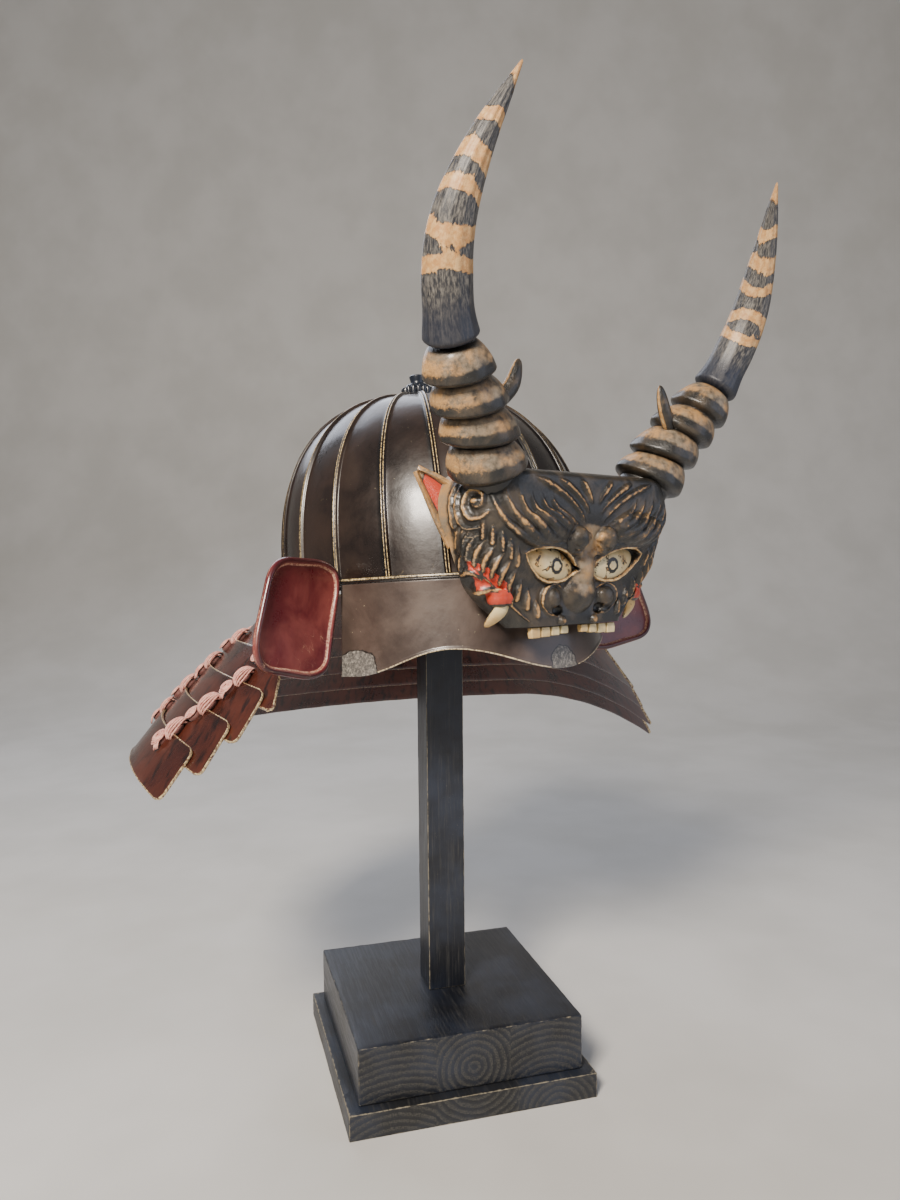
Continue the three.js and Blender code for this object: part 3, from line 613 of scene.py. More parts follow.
@dataclass(frozen=True)
class HornLacquer:
    """Grey-black fibrous lacquer with broken ochre bands, an ochre tip and a blue-black foot.

    The vertices carry `along` (millimetres from the foot), `around` and `band` (where the ochre lies).
    """

    name: str = "horn lacquer"
    black: str = "#25262b"
    grey: str = "#77726a"
    ochre: str = "#b5824b"
    pale: str = "#d2ab74"
    blue: str = "#1d2230"

    def material(self) -> Finish:
        """Builds the node material.

        Returns:
            the material.
        """
        s = Surface(self.name, IOR=1.5, Coat_Weight=0.15, Coat_Roughness=0.3)
        along = s.add("Attribute", attribute_name="along").outputs["Fac"]
        turn = s.add("Attribute", attribute_name="around").outputs["Fac"]
        line = s.add("CombineXYZ", {0: s.add("Math", [turn, 9.0], **TIMES),
            1: s.add("Math", [along, 0.045], **TIMES)}).outputs[0]
        fibre = s.add("TexNoise", {"Vector": line, "Scale": 4.0, "Detail": 6.0, "Roughness": 0.7}).outputs[0]
        blotch = s.add("TexNoise", cloudy(11, 5, 0.65, 0.6))
        colour = s.add("Mix", {0: s.add("MapRange", [fibre, 0.4, 0.66], **EASED), 6: self.black,
            7: self.grey}, **TINTS)
        height = s.add("Math", [blotch, 16.0, along], **TIMES_PLUS)
        foot = s.add("Math", [1.0, s.add("MapRange", [height, 22, 44], **EASED)], operation="SUBTRACT")
        colour = s.add("Mix", {0: s.add("Math", [foot, 0.8], **TIMES), 6: colour, 7: self.blue}, **TINTS)
        band = s.add("Attribute", attribute_name="band").outputs["Fac"]
        edge = s.add("Math", [band, s.add("Math", [blotch, 1.5, -0.75], **TIMES_PLUS)], **PLUS)
        edge = s.add("Math", [edge, s.add("Math", [fibre, 0.7, -0.35], **TIMES_PLUS)], **PLUS)
        gold = s.add("Mix", {
            0: s.add("MapRange", [s.add("TexNoise", cloudy(3.5, 4, 0.7)), 0.35, 0.7], **EASED),
            6: self.ochre, 7: self.pale}, **TINTS)
        colour = s.add("Mix", {0: s.add("MapRange", [edge, 0.5, 0.62], **EASED), 6: colour, 7: gold},
            **TINTS)
        roughness = s.add("MapRange", [fibre, 0.3, 0.7, 0.36, 0.62], **EASED)
        normal = s.add("Bump", {"Height": fibre, "Distance": 0.35 * MM})
        normal = s.add("Bump", {"Height": s.add("MapRange", [edge, 0.45, 0.6], **EASED),
            "Distance": 0.2 * MM, "Normal": normal})
        return s.done(colour, roughness, s.add("Bump", {"Height": s.add("TexNoise", cloudy(0.9, 3, 0.6)),
                "Distance": 0.06 * MM, "Normal": normal}))


@dataclass(frozen=True)
class ChippedPaint:
    """Cream gesso paint over dark wood, flaked in patches.

    The vertices carry `ring` (a painted dark line) and `shade` (painted shade round the eyes' rims and at the
    fangs' roots).
    """

    name: str
    cream: str = "#dcca98"
    warm: str = "#c9a468"
    under: str = "#3a2c1f"
    flake: float = 0.62

    def material(self) -> Finish:
        """Builds the node material.

        Returns:
            the material.
        """
        s = Surface(self.name, IOR=1.48, Coat_Weight=0.2, Coat_Roughness=0.3)
        patch = s.add("TexNoise", cloudy(9, 4, 0.6, 0.4))
        colour = s.add("Mix", {
            0: s.add("MapRange", [s.add("TexNoise", cloudy(24, 3)), 0.35, 0.7], **EASED), 6: self.cream,
            7: self.warm}, **TINTS)
        gone = s.add("MapRange", [patch, self.flake, self.flake + 0.02], **EASED)
        colour = s.add("Mix", {0: gone, 6: colour, 7: s.add("Mix", {
                0: s.add("MapRange", [s.add("TexNoise", cloudy(2, 3)), 0.4, 0.6], **EASED), 6: "#b07c45",
                7: self.warm}, **TINTS)}, **TINTS)
        outside = s.add("MapRange", [patch, self.flake - 0.025, self.flake], **EASED)
        inside = s.add("MapRange", [patch, self.flake + 0.045, self.flake + 0.02], **EASED)
        rim = s.add("Math", [outside, inside], **TIMES)
        colour = s.add("Mix", {0: rim, 6: colour, 7: self.under}, **TINTS)
        fleck = s.add("MapRange", [s.add("TexNoise", cloudy(1.6, 4, 0.7)), 0.66, 0.72], **EASED)
        colour = s.add("Mix", {0: s.add("Math", [fleck, 0.8], **TIMES), 6: colour, 7: self.under}, **TINTS)
        uneven = s.add("Math", [s.add("TexNoise", cloudy(1.8, 3)), 0.9, -0.45], **TIMES_PLUS)
        dark = s.add("Math", [s.add("Attribute", attribute_name="ring").outputs["Fac"], uneven], **PLUS)
        colour = s.add("Mix", {0: s.add("MapRange", [dark, 0.45, 0.6], **EASED), 6: colour, 7: "#1d1a17"},
            **TINTS)
        # painted shade towards dark brown by the vertices' shade
        colour = s.add("Mix", {
            0: s.add("Math", [s.add("Attribute", attribute_name="shade").outputs["Fac"], 0.85], **TIMES),
            6: colour, 7: "#1a130e"}, **TINTS)
        height = s.add("Math", [s.add("TexNoise", cloudy(2.5, 4, 0.6)),
            s.add("Math", [gone, 0.9], **TIMES)], operation="SUBTRACT")
        return s.done(colour, s.add("MapRange", [patch, 0.3, 0.7, 0.36, 0.56], **EASED),
            s.add("Bump", {"Height": height, "Distance": 0.3 * MM}))


@dataclass(frozen=True)
class SilkBraid:
    """Faded pink silk cord of twisted strands, with painted shade where the vertices say they lie deep in the
    knot.
    """

    name: str = "silk braid"
    pink: str = "#c98479"
    pale: str = "#e6b3a4"
    dark: str = "#4a2422"

    def material(self) -> Finish:
        """Builds the node material.

        Returns:
            the material.
        """
        s = Surface(self.name, IOR=1.45, Sheen_Weight=0.35, Sheen_Roughness=0.4)
        colour = s.add("Mix", {
            0: s.add("MapRange", [s.add("TexNoise", cloudy(2.4, 3, 0.6)), 0.35, 0.65], **EASED),
            6: self.pink, 7: self.pale}, **TINTS)
        colour = s.add("Mix", {
            0: s.add("MapRange", [s.add("TexNoise", cloudy(9, 3)), 0.45, 0.75, 0, 0.5], **EASED),
            6: colour, 7: "#b06f62"}, **TINTS)
        # painted shade: strands lying deep in the knot and the core under them darken towards the dark colour
        colour = s.add("Mix", {
            0: s.add("MapRange", [s.add("Attribute", attribute_name="deep").outputs["Fac"], 0.25, 1.0, 0,
                0.9], **EASED), 6: colour, 7: self.dark}, **TINTS)
        twist = s.add("TexNoise", cloudy(0.5, 2, 0.7))
        return s.done(colour, s.add("MapRange", [twist, 0.3, 0.7, 0.55, 0.8], **EASED),
            s.add("Bump", {"Height": twist, "Distance": 0.18 * MM}))


@dataclass(frozen=True)
class StainedWood:
    """Black-stained softwood: long grain on the post and on top, arcs on the board ends, rubbed pale edges.

    The vertices carry `worn` (edges). The boards run along the stand's own Y axis.
    """

    name: str
    turn: float
    black: str = "#12141a"
    # blue: partly the stain's own tone, partly a painted bluish sheen
    blue: str = "#252b38"
    grain: str = "#4a4842"
    pale: str = "#8d8470"
    end_grain: float = 1.0
    board: float = 57.0
    roughness: float = 0.4

    def material(self) -> Finish:
        """Builds the node material.

        Returns:
            the material.
        """
        s = Surface(self.name, IOR=1.48, Coat_Weight=0.12, Coat_Roughness=0.3)
        local = s.add("Mapping", {"Vector": s.where, "Rotation": (0, 0, math.radians(self.turn))})
        axis = s.add("SeparateXYZ", {0: local}).outputs
        board = s.add("Math", [axis[0], self.board * MM], operation="DIVIDE")
        across = s.add("Math", [s.add("Math", [s.add("Math", [board, 20.5], **PLUS)], operation="FRACT"),
            0.5], operation="SUBTRACT")
        step = s.add("Math", [s.add("Math", [board, 20.5], **PLUS)], operation="FLOOR")
        lift = s.add("Math", [s.add("Math", [s.add("Math", [step, 2.4], **TIMES)], operation="SINE"),
            0.045], **TIMES)
        arcs = s.add("CombineXYZ", {0: s.add("Math", [across, self.board * MM], **TIMES), 1: 0.0,
            2: s.add("Math", [axis[2], lift], **PLUS)}).outputs[0]
        ring = s.add("TexWave", {"Vector": arcs, "Scale": 62.0, "Distortion": 2.2, "Detail": 3.0,
                                 "Detail Scale": 1.6, "Detail Roughness": 0.6},
                     wave_type="RINGS", rings_direction="Y", wave_profile="SAW").outputs["Fac"]
        stretch = (1.0, 0.05, 1.0) if self.end_grain else (1.0, 1.0, 0.04)
        long = s.add("Mapping", {"Vector": local, "Scale": stretch})
        fibre = s.add("TexNoise", {**cloudy(1.6, 5, 0.7, 0.3), "Vector": long.outputs[0]})
        # large blue clouds: partly the stain's tone, partly a painted bluish sheen
        colour = s.add("Mix", {
            0: s.add("MapRange", [s.add("TexNoise", cloudy(60, 4, 0.6)), 0.35, 0.7], **EASED),
            6: self.black, 7: self.blue}, **TINTS)
        colour = s.add("Mix", {0: s.add("MapRange", [fibre, 0.5, 0.75, 0, 0.5], **EASED), 6: colour,
            7: self.grain}, **TINTS)
        facing = s.add("Mapping", {"Vector": s.add("TexCoord").outputs["Normal"],
                                   "Rotation": (0, 0, math.radians(self.turn))})
        ends = s.add("Math", [s.add("SeparateXYZ", {0: facing.outputs[0]}).outputs[1]],
            operation="ABSOLUTE")
        ends = s.add("Math", [s.add("MapRange", [ends, 0.6, 0.8], **EASED), self.end_grain], **TIMES)
        pores = s.add("Math", [
            s.add("MapRange", [s.add("TexNoise", cloudy(0.9, 3, 0.7)), 0.35, 0.65], **EASED),
            s.add("MapRange", [ring, 0.3, 0.75], **EASED)], **TIMES)
        colour = s.add("Mix", {0: s.add("Math", [s.add("Math", [pores, ends], **TIMES), 0.75], **TIMES),
            6: colour, 7: self.grain}, **TINTS)
        edge = s.add("Math", [s.add("TexNoise", cloudy(5, 4, 0.7)), -0.9,
            s.add("Attribute", attribute_name="worn").outputs["Fac"]], **TIMES_PLUS)
        colour = s.add("Mix", {0: s.add("MapRange", [edge, 0.36, 0.6, 0, 0.8], **EASED), 6: colour,
            7: self.pale}, **TINTS)
        dots = s.add("MapRange", [s.add("TexNoise", cloudy(1.2, 2, 0.8)), 0.68, 0.76], **EASED)
        dust = s.add("Math", [dots,
            s.add("MapRange", [s.add("TexNoise", cloudy(40, 2)), 0.45, 0.7], **EASED)], **TIMES)
        colour = s.add("Mix", {0: s.add("Math", [dust, 0.5], **TIMES), 6: colour, 7: self.pale}, **TINTS)
        roughness = s.add("MapRange", [fibre, 0.3, 0.8, self.roughness - 0.08, self.roughness + 0.22],
            **EASED)
        normal = s.add("Bump", {"Height": fibre, "Distance": 0.14 * MM})
        normal = s.add("Bump", {"Height": s.add("Math", [ring, ends], **TIMES), "Distance": 0.3 * MM,
            "Normal": normal})
        return s.done(colour, roughness, normal)


def base_name(piece: Piece) -> str:
    """The name a piece was given, without the number Blender adds."""
    return piece.name.split(".")[0]


def dress(piece: Piece, material: Finish, slot: str, *nodes: str) -> Piece:
    """Gives a new piece its finish, hides the CAD nodes it stands for, and sets it on the body.

    Args:
        piece: the mesh.
        material: its finish.
        slot: not used.
        nodes: the CAD nodes it stands for.

    Returns:
        the same piece.
    """
    piece.name = piece.data.name = base_name(piece) + "_made"
    piece.data.materials.clear()
    piece.data.materials.append(material)
    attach(piece, "root")
    if nodes:
        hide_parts(*nodes)
    LOG.info("%s: %d faces", piece.name, len(piece.data.polygons))
    return piece


# ---------- stand ----------
@dataclass
class Stand:
    """Plinth, block and square post of black-stained wood, turned a little under the helmet."""

    turn: float = -24.8
    plinth: tuple[float, float, float] = (189.0, 0.0, 19.0)
    block: tuple[float, float, float] = (172.0, 19.3, 61.3)
    post: tuple[float, float, float] = (30.0, 61.6, 505.7)
    bevel: float = 1.3

    def beam(self, name: str, side: float, low: float, high: float, cuts: int) -> Piece:
        """One square timber, its edges rounded and rubbed unevenly.

        Args:
            name: the piece's name.
            side: width of the square.
            low: height of its underside.
            high: height of its top.
            cuts: how finely its faces are divided.

        Returns:
            The mesh, turned into place.
        """
        deselect()
        bpy.ops.mesh.primitive_cube_add(size=1, location=(0, 0, (low + high) / 2 * MM))
        piece = bpy.context.object
        piece.name = piece.data.name = name
        piece.scale = (side * MM, side * MM, (high - low) * MM)
        bpy.ops.object.transform_apply(location=True, rotation=True, scale=True)
        open_mesh(piece)
        bpy.ops.mesh.subdivide(number_cuts=cuts)
        bpy.ops.object.mode_set(mode="OBJECT")
        round_edges(piece, self.bevel, 3, 40)
        points = vertex_array(piece) / MM
        reach = np.stack([side / 2 - abs(points[:, 0]), side / 2 - abs(points[:, 1]),
                          np.minimum(points[:, 2] - low, high - points[:, 2])])
        near = np.sort(reach, axis=0)[1]
        worn = 1 - smooth_step(0.4, self.bevel * 1.05, near)
        rng = np.random.default_rng(len(name))
        points += (rng.random(points.shape) - 0.5) * 0.35 * worn[:, None] * (points[:, 2:] > low + 0.4)
        points[:, 2] = np.clip(points[:, 2], low, high)
        spin = level_turn(math.radians(self.turn))
        set_vertices(piece, points @ spin.T * MM)
        paint_points(piece, "worn", worn)
        smooth_shade(piece, 35)
        return piece

    def build(self) -> None:
        """Makes and dresses the three timbers and the plain pad under the crown."""
        end_wood = StainedWood("stained boards", -self.turn).material()
        post_wood = StainedWood("stained post", -self.turn, end_grain=0.0).material()
        rough = StainedWood("stained plinth", -self.turn, board=63.0, roughness=0.52,
                            black="#16171a").material()
        dress(self.beam("plinth", *self.plinth, cuts=30), rough, "wood", "stand_plinth")
        dress(self.beam("block", *self.block, cuts=30), end_wood, "wood", "stand_block")
        dress(self.beam("post", *self.post, cuts=40), post_wood, "wood", "stand_post")
        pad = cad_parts["stand_pad"]
        pad.data.materials.clear()
        pad.data.materials.append(post_wood)


# ---------- bowl ----------
@dataclass
class Bowl:
    """The ribbed bowl of twenty plates, its rim band and the stacked crown finial."""

    half_width: float = 115.0
    half_length: float = 129.5
    height: float = 147.0
    rim_y: float = 2.9
    lean: float = 12.0
    fullness: float = 2.55
    wall: float = 2.5
    plates: int = 20
    spread: float = 5.5
    rib_height: float = 2.0
    rim: tuple[float, float, float] = (-2.0, 1.6, 2.6)
    foot: float = 1.9

    def point(self, turn: Array, rise: Array, offset: Array | float = 0.0) -> Array:
        """Points of the bowl.

        Args:
            turn: radians from the front.
            rise: 0 at the rim to 1 at the crown.
            offset: millimetres outside the surface.

        Returns:
            the upright points in millimetres.
        """
        angle = rise * math.pi / 2
        flat = np.maximum(np.cos(angle), 0) ** (2 / self.fullness)
        up = np.maximum(np.sin(angle), 0) ** (2 / self.fullness)
        x = (self.half_width + offset) * flat * np.sin(turn)
        y = self.rim_y + self.lean * up - (self.half_length + offset) * flat * np.cos(turn)
        return np.stack([x, y, (self.height + offset) * up], -1)

    def rib_turn(self, index: Array) -> Array:
        """Turn of a rib from the front, in radians; plates are wider in front."""
        even = index * 2 * math.pi / self.plates
        return even + math.radians(self.spread) * np.sin(even)

    def shell(self) -> Piece:
        """Outer face with its ribs, the rim and the plain inner face, closed at both poles.

        Returns:
            the closed mesh.
        """
        half_rib = np.array([0.55, 0.95, 1.25, 1.6, 2.0, 2.45, 2.9])
        across = np.concatenate([-half_rib[::-1], [0.0], half_rib])
        between = np.array([0.08, 0.2, 0.36, 0.5, 0.64, 0.8, 0.92])
        per = len(across) + len(between)
        columns = self.plates * per
        outer = 1 - np.linspace(0, 1, 71) ** 1.15
        inner = np.linspace(0, 1, 12)[:-1]
        rises = np.concatenate([outer, inner, [1.0]])

        def shape(u: Array, v: Array) -> Laid:
            """The outer face down from the crown, then the inner face back up."""
            column = np.rint(u * columns).astype(int)
            row = np.rint(v * (len(rises) - 1)).astype(int)
            rise = rises[row]
            outside = row < len(outer)
            rib, place = (column // per) % self.plates, column % per
            rib_at, next_at = self.rib_turn(rib), self.rib_turn(rib + 1)
            arm = self.point(rib_at, rise) - self.point(rib_at, np.ones_like(rise))
            radius = np.linalg.norm(arm[..., :2], axis=-1)
            radius = np.maximum(radius, 14)
            on_rib = place < len(across)
            side = np.where(on_rib, across[np.minimum(place, len(across) - 1)], 0)
            share = between[np.clip(place - len(across), 0, len(between) - 1)]
            edge = across[-1] / radius
            plate_turn = rib_at + edge + share * (next_at - rib_at - 2 * edge)
            turn = np.where(on_rib, rib_at + side / radius, plate_turn)
            fade = smooth_step(1.0, 0.93, rise)
            ridge = smooth_step(2.6, 1.35, abs(side)) - 0.42 * smooth_step(0.75, 0.0, abs(side))
            step = np.where(on_rib, np.where(side > 0, 0.55, 0), 0.55 * (1 - share))
            lift = np.where(on_rib, self.rib_height * ridge, 0) * fade + step * fade
            points = self.point(turn, rise, np.where(outside, lift, -self.wall))
            points[..., 2] = np.maximum(points[..., 2], self.foot)
            # the two bright lines on each rib's crests: partly rubbed lacquer, partly a painted highlight
            worn = np.where(on_rib & outside, smooth_step(0.42, 0.12, abs(abs(side) - 1.1)), 0)
            # painted shade: the groove down the middle of each rib and the band on its back side
            beside = np.where(side < 0, smooth_step(1.8, 2.1, -side), 0)
            shade = np.where(on_rib & outside, np.maximum(smooth_step(0.6, 0.2, abs(side)), beside), 0)
            low_line = np.where(outside & ~on_rib, smooth_step(0.035, 0.012, rise), 0) * 0.44
            shade = shade * (1 - 0.5 * (rise > 0.97))
            return POSE.place(points), {"worn": np.maximum(worn, low_line), "shade": shade}

        piece = shaped_grid("bowl", columns, len(rises) - 1, shape)
        mend(piece, 0.02)
        smooth_shade(piece, 60)
        return piece

    def rim_band(self) -> Piece:
        """Rolled band under the bowl, with a bright upper bead over a groove in painted shade.

        Returns:
            the closed mesh.
        """
        low, high, reach = self.rim
        section = np.array([[-2.0, low], [0.6, low], [1.5, low + 0.2], [1.9, low + 0.9], [1.7, low + 1.4],
                            [2.2, low + 1.7], [reach, low + 2.4], [reach - 0.3, high - 0.35],
                            [reach - 1.1, high], [-2.0, high], [-2.0, low]])
        bright = np.array([0, 0, 0.1, 0.25, 0, 0.3, 0.9, 1.0, 0.5, 0, 0])
        # painted shade: the groove, the underside and the inner face of the band
        dark = np.array([1, 0.8, 0.3, 0, 1.0, 0.3, 0, 0, 0, 0.5, 1])

        def shape(u: Array, v: Array) -> Laid:
            """The section carried round the rim."""
            place = np.rint(v * (len(section) - 1)).astype(int)
            points = self.point(u * 2 * math.pi, np.zeros_like(u), section[place, 0])
            points[..., 2] = section[place, 1]
            return POSE.place(points), {"worn": bright[place], "shade": dark[place]}

        piece = shaped_grid("rim_band", 240, len(section) - 1, shape)
        mend(piece, 0.02)
        smooth_shade(piece, 45)
        return piece

    def tier(self, name: str, low: float, profile: Sequence[tuple[float, float, float]],
             petals: int) -> Piece:
        """One petalled ring of the finial.

        Args:
            name: the piece's name.
            low: height of its foot over the crown.
            profile: radius, height and petal depth at each step from the foot to the top.
            petals: how many petals go round.

        Returns:
            The closed mesh.
        """
        table = np.array([(0.0, profile[0][1], 0.0), *profile, (0.0, profile[-1][1], 0.0)])
        crown = self.point(np.zeros(1), np.ones(1))[0]

        def shape(u: Array, v: Array) -> Laid:
            """The profile carried round the crown, with its petals."""
            place = np.rint(v * (len(table) - 1)).astype(int)
            radius, z, depth = (table[place, k] for k in range(3))
            wave = abs(np.sin(petals * math.pi * u))
            radius = radius - depth * (1 - wave) ** 1.5
            points = np.stack([crown[0] + radius * np.sin(2 * math.pi * u),
                               crown[1] - radius * np.cos(2 * math.pi * u), crown[2] + low + z + 0 * u], -1)
            worn = np.where(depth > 0, 0.55 * wave**6, 0) * (radius > 3)
            # painted shade in the valleys between the petals
            return POSE.place(points), {"worn": worn, "shade": np.where(depth > 0, (1 - wave) ** 3, 0)}

        piece = shaped_grid(name, 240, len(table) - 1, shape)
        mend(piece, 0.02)
        smooth_shade(piece, 35)
        return piece

    def build(self, coat: Finish, blue_coat: Finish) -> None:
        """Makes and dresses the bowl, its band and the finial.

        Args:
            coat: the lacquer.
            blue_coat: the finial's lacquer.
        """
        dress(self.shell(), coat, "bowl_lacquer", "bowl")
        dress(self.rim_band(), coat, "bowl_lacquer", "rim_band")
        base = [(16.2, -1.5, 1.6), (17.4, -0.9, 1.6), (17.6, 0.2, 1.4), (17.2, 1.2, 1.2), (15.2, 1.7, 0.6),
                (14.6, 2.4, 0.1), (14.9, 3.4, 0.1), (15.0, 4.1, 0.1), (13.6, 4.6, 0.2), (13.0, 5.0, 1.3),
                (13.3, 7.4, 1.4), (13.1, 9.6, 1.4), (12.4, 10.2, 1.0), (9.5, 10.4, 0)]
        top = [(8.2, 0, 0), (9.4, 0.5, 0.5), (9.6, 1.5, 0.6), (8.8, 2.6, 0.4), (7.2, 3.2, 0), (5.6, 3.5, 0),
               (5.2, 4.4, 0), (5.5, 6.0, 0), (6.3, 8.6, 0), (6.3, 9.6, 0), (5.4, 10.4, 0), (4.4, 10.5, 0),
               (4.0, 9.2, 0)]
        dress(self.tier("finial_base", 0.0, base, 16), blue_coat, "bowl_lacquer", "finial_base")
        dress(self.tier("finial_top", 10.2, top, 12), blue_coat, "bowl_lacquer", "finial_top")


# ---------- visor ----------
@dataclass
class Visor:
    """The steep brow plate with its wavy lower edge, flaked to bare iron on the lobes."""

    bowl: Bowl
    end: float = 76.0
    top: float = -2.4
    wall: float = 2.0
    flare: float = 3.0
    lobe: float = -67.0
    arch: float = -49.5
    side_lobe: float = -66.0
    arch_at: float = 40.0
    side_lobe_at: float = 71.0

    def edge(self, turn: Array) -> Array:
        """Height of the lower edge at a turn from the front in degrees.

        Args:
            turn: degrees from the front.

        Returns:
            heights in millimetres.
        """
        t = abs(turn)
        first = np.clip(t / self.arch_at, 0, 1)
        second = np.clip((t - self.arch_at) / (self.side_lobe_at - self.arch_at), 0, 1)
        inner = self.lobe + (self.arch - self.lobe) * cosine_step(first)
        outer = self.arch + (self.side_lobe - self.arch) * cosine_step(second)
        return np.where(t < self.arch_at, inner, outer)

    def build(self, coat: Finish) -> None:
        """Makes and dresses the plate.

        Args:
            coat: the lacquer.
        """
        def shape(u: Array, v: Array) -> Laid:
            """The plate's outer face, and where its coat has flaked."""
            turn = (2 * u - 1) * self.end
            k = 1 - (1 - v) ** 1.3
            low = self.edge(turn)
            points = self.bowl.point(np.radians(turn), np.zeros_like(u), self.flare * k**1.5 + self.wall)
            points[..., 2] = self.top + (low - self.top) * k
            drop = points[..., 2] - low
            bead = 0.5 * smooth_step(2.2, 0.8, drop)
            points[..., :2] *= (1 + bead / 120)[..., None]
            near = np.maximum(smooth_step(16, 0, abs(abs(turn) - 71)), 0.85 * smooth_step(13, 0, abs(turn)))
            chip = near * smooth_step(34, 2, drop)
            return POSE.place(points), {"worn": smooth_step(1.6, 0.2, drop), "shade": 0 * u, "chip": chip}

        piece = shaped_grid("visor", 220, 56, shape)
        thick_sheet(piece, self.wall, (0, 0, 360), 0.55)
        dress(piece, coat, "visor_lacquer", "visor")


# ---------- side plates ----------
@dataclass
class SidePlates:
    """The two turned-back wine-red plates with their rolled bead."""

    fold: tuple[float, float] = (116.0, -28.0)
    out: tuple[float, float] = (83.7, -25.4)
    wall: float = 2.2
    middle: tuple[float, float] = (43.0, -24.0)
    corners: tuple[tuple[float, float, float], ...] = (
        (-2, 6, 17), (15, 15, 12), (66, 17, 17), (87.5, -40, 16), (82, -56, 12), (34, -66, 14), (17, -61, 9))
    section: tuple[tuple[float, float, float, float], ...] = (
        # inset from the edge, height, worn, painted shade (over the top and outer roll of the bead): from the
        # middle of the front over the bead to the back
        (40, 0.7, 0, 0), (30, 0.8, 0, 0), (20, 1.0, 0, 0), (12, 1.4, 0, 0), (8, 1.8, 0, 0), (6, 2.0, 0.1, 0),
        (5.2, 2.2, 0.85, 0), (4.7, 2.6, 1, 0), (4.2, 3.4, 0.8, 0), (3.5, 4.2, 0.1, 0), (2.6, 4.6, 0, 0.7),
        (1.6, 4.5, 0, 0.8), (0.7, 3.9, 0, 0.5), (0.15, 3.0, 0.2, 0.1), (0, 2.0, 0.7, 0), (0.2, 0.9, 0.4, 0),
        (0.7, 0.2, 0, 0), (3, 0, 0, 0), (12, -0.6, 0, 0), (26, -1.0, 0, 0), (40, -1.1, 0, 0))

    def outline(self, share: Array) -> Array:
        """The rounded outline as (along, up) points at shares 0 to 1 of a lap.

        Args:
            share: places from 0 to 1.

        Returns:
            points in millimetres.
        """
        pts = np.array(self.corners, float)
        dense = []
        for i, (u, v, r) in enumerate(pts):
            before, after = pts[i - 1, :2], pts[(i + 1) % len(pts), :2]
            here = np.array([u, v])
            ends = [here + (o - here) * min(r / np.linalg.norm(o - here), 0.45) for o in (before, after)]
            k = np.linspace(0, 1, 13)[:, None]
            dense.append((1 - k) ** 2 * ends[0] + 2 * k * (1 - k) * here + k**2 * ends[1])
        loop = np.concatenate([*dense, dense[0][:1]])
        length = run_length(loop)
        at = share * length[-1]
        return np.stack([np.interp(at, length, loop[:, 0]), np.interp(at, length, loop[:, 1])], -1)

    def build(self, coat: Finish) -> None:
        """Makes the left plate and its mirrored twin, and dresses both.

        Args:
            coat: the lacquer.
        """
        table = np.array([(60, 0.65, 0, 0), *self.section, (60, -1.1, 0, 0)])
        along = unit(np.array([*self.out, 0.0]))
        front = np.array([along[1], -along[0], 0.0])
        origin = np.array([*self.fold, 0.0])

        def shape(u: Array, v: Array) -> Laid:
            """The section carried round the outline."""
            row = np.rint(v * (len(table) - 1)).astype(int)
            edge = self.outline(u)
            middle = np.array(self.middle)
            reach = np.linalg.norm(edge - middle, axis=-1)
            inset = np.minimum(table[row, 0], reach)
            inset = np.where(table[row, 0] > 59, reach, np.minimum(inset, reach * 0.9))
            flat = middle + (edge - middle) * ((reach - inset) / reach)[..., None]
            height = table[row, 1]
            points = (origin + flat[..., :1] * along + height[..., None] * front
                      + np.stack([0 * u, 0 * u, flat[..., 1]], -1))
            return POSE.place(points), {"worn": table[row, 2], "shade": table[row, 3]}

        left = shaped_grid("side_plate_left", 220, len(table) - 1, shape)
        mend(left, 0.02)
        smooth_shade(left, 50)
        right = mirrored_copy(left, "side_plate_right")
        smooth_shade(right, 50)
        dress(left, coat, "red_lacquer", "side_plate_left")
        dress(right, coat, "red_lacquer", "side_plate_right")


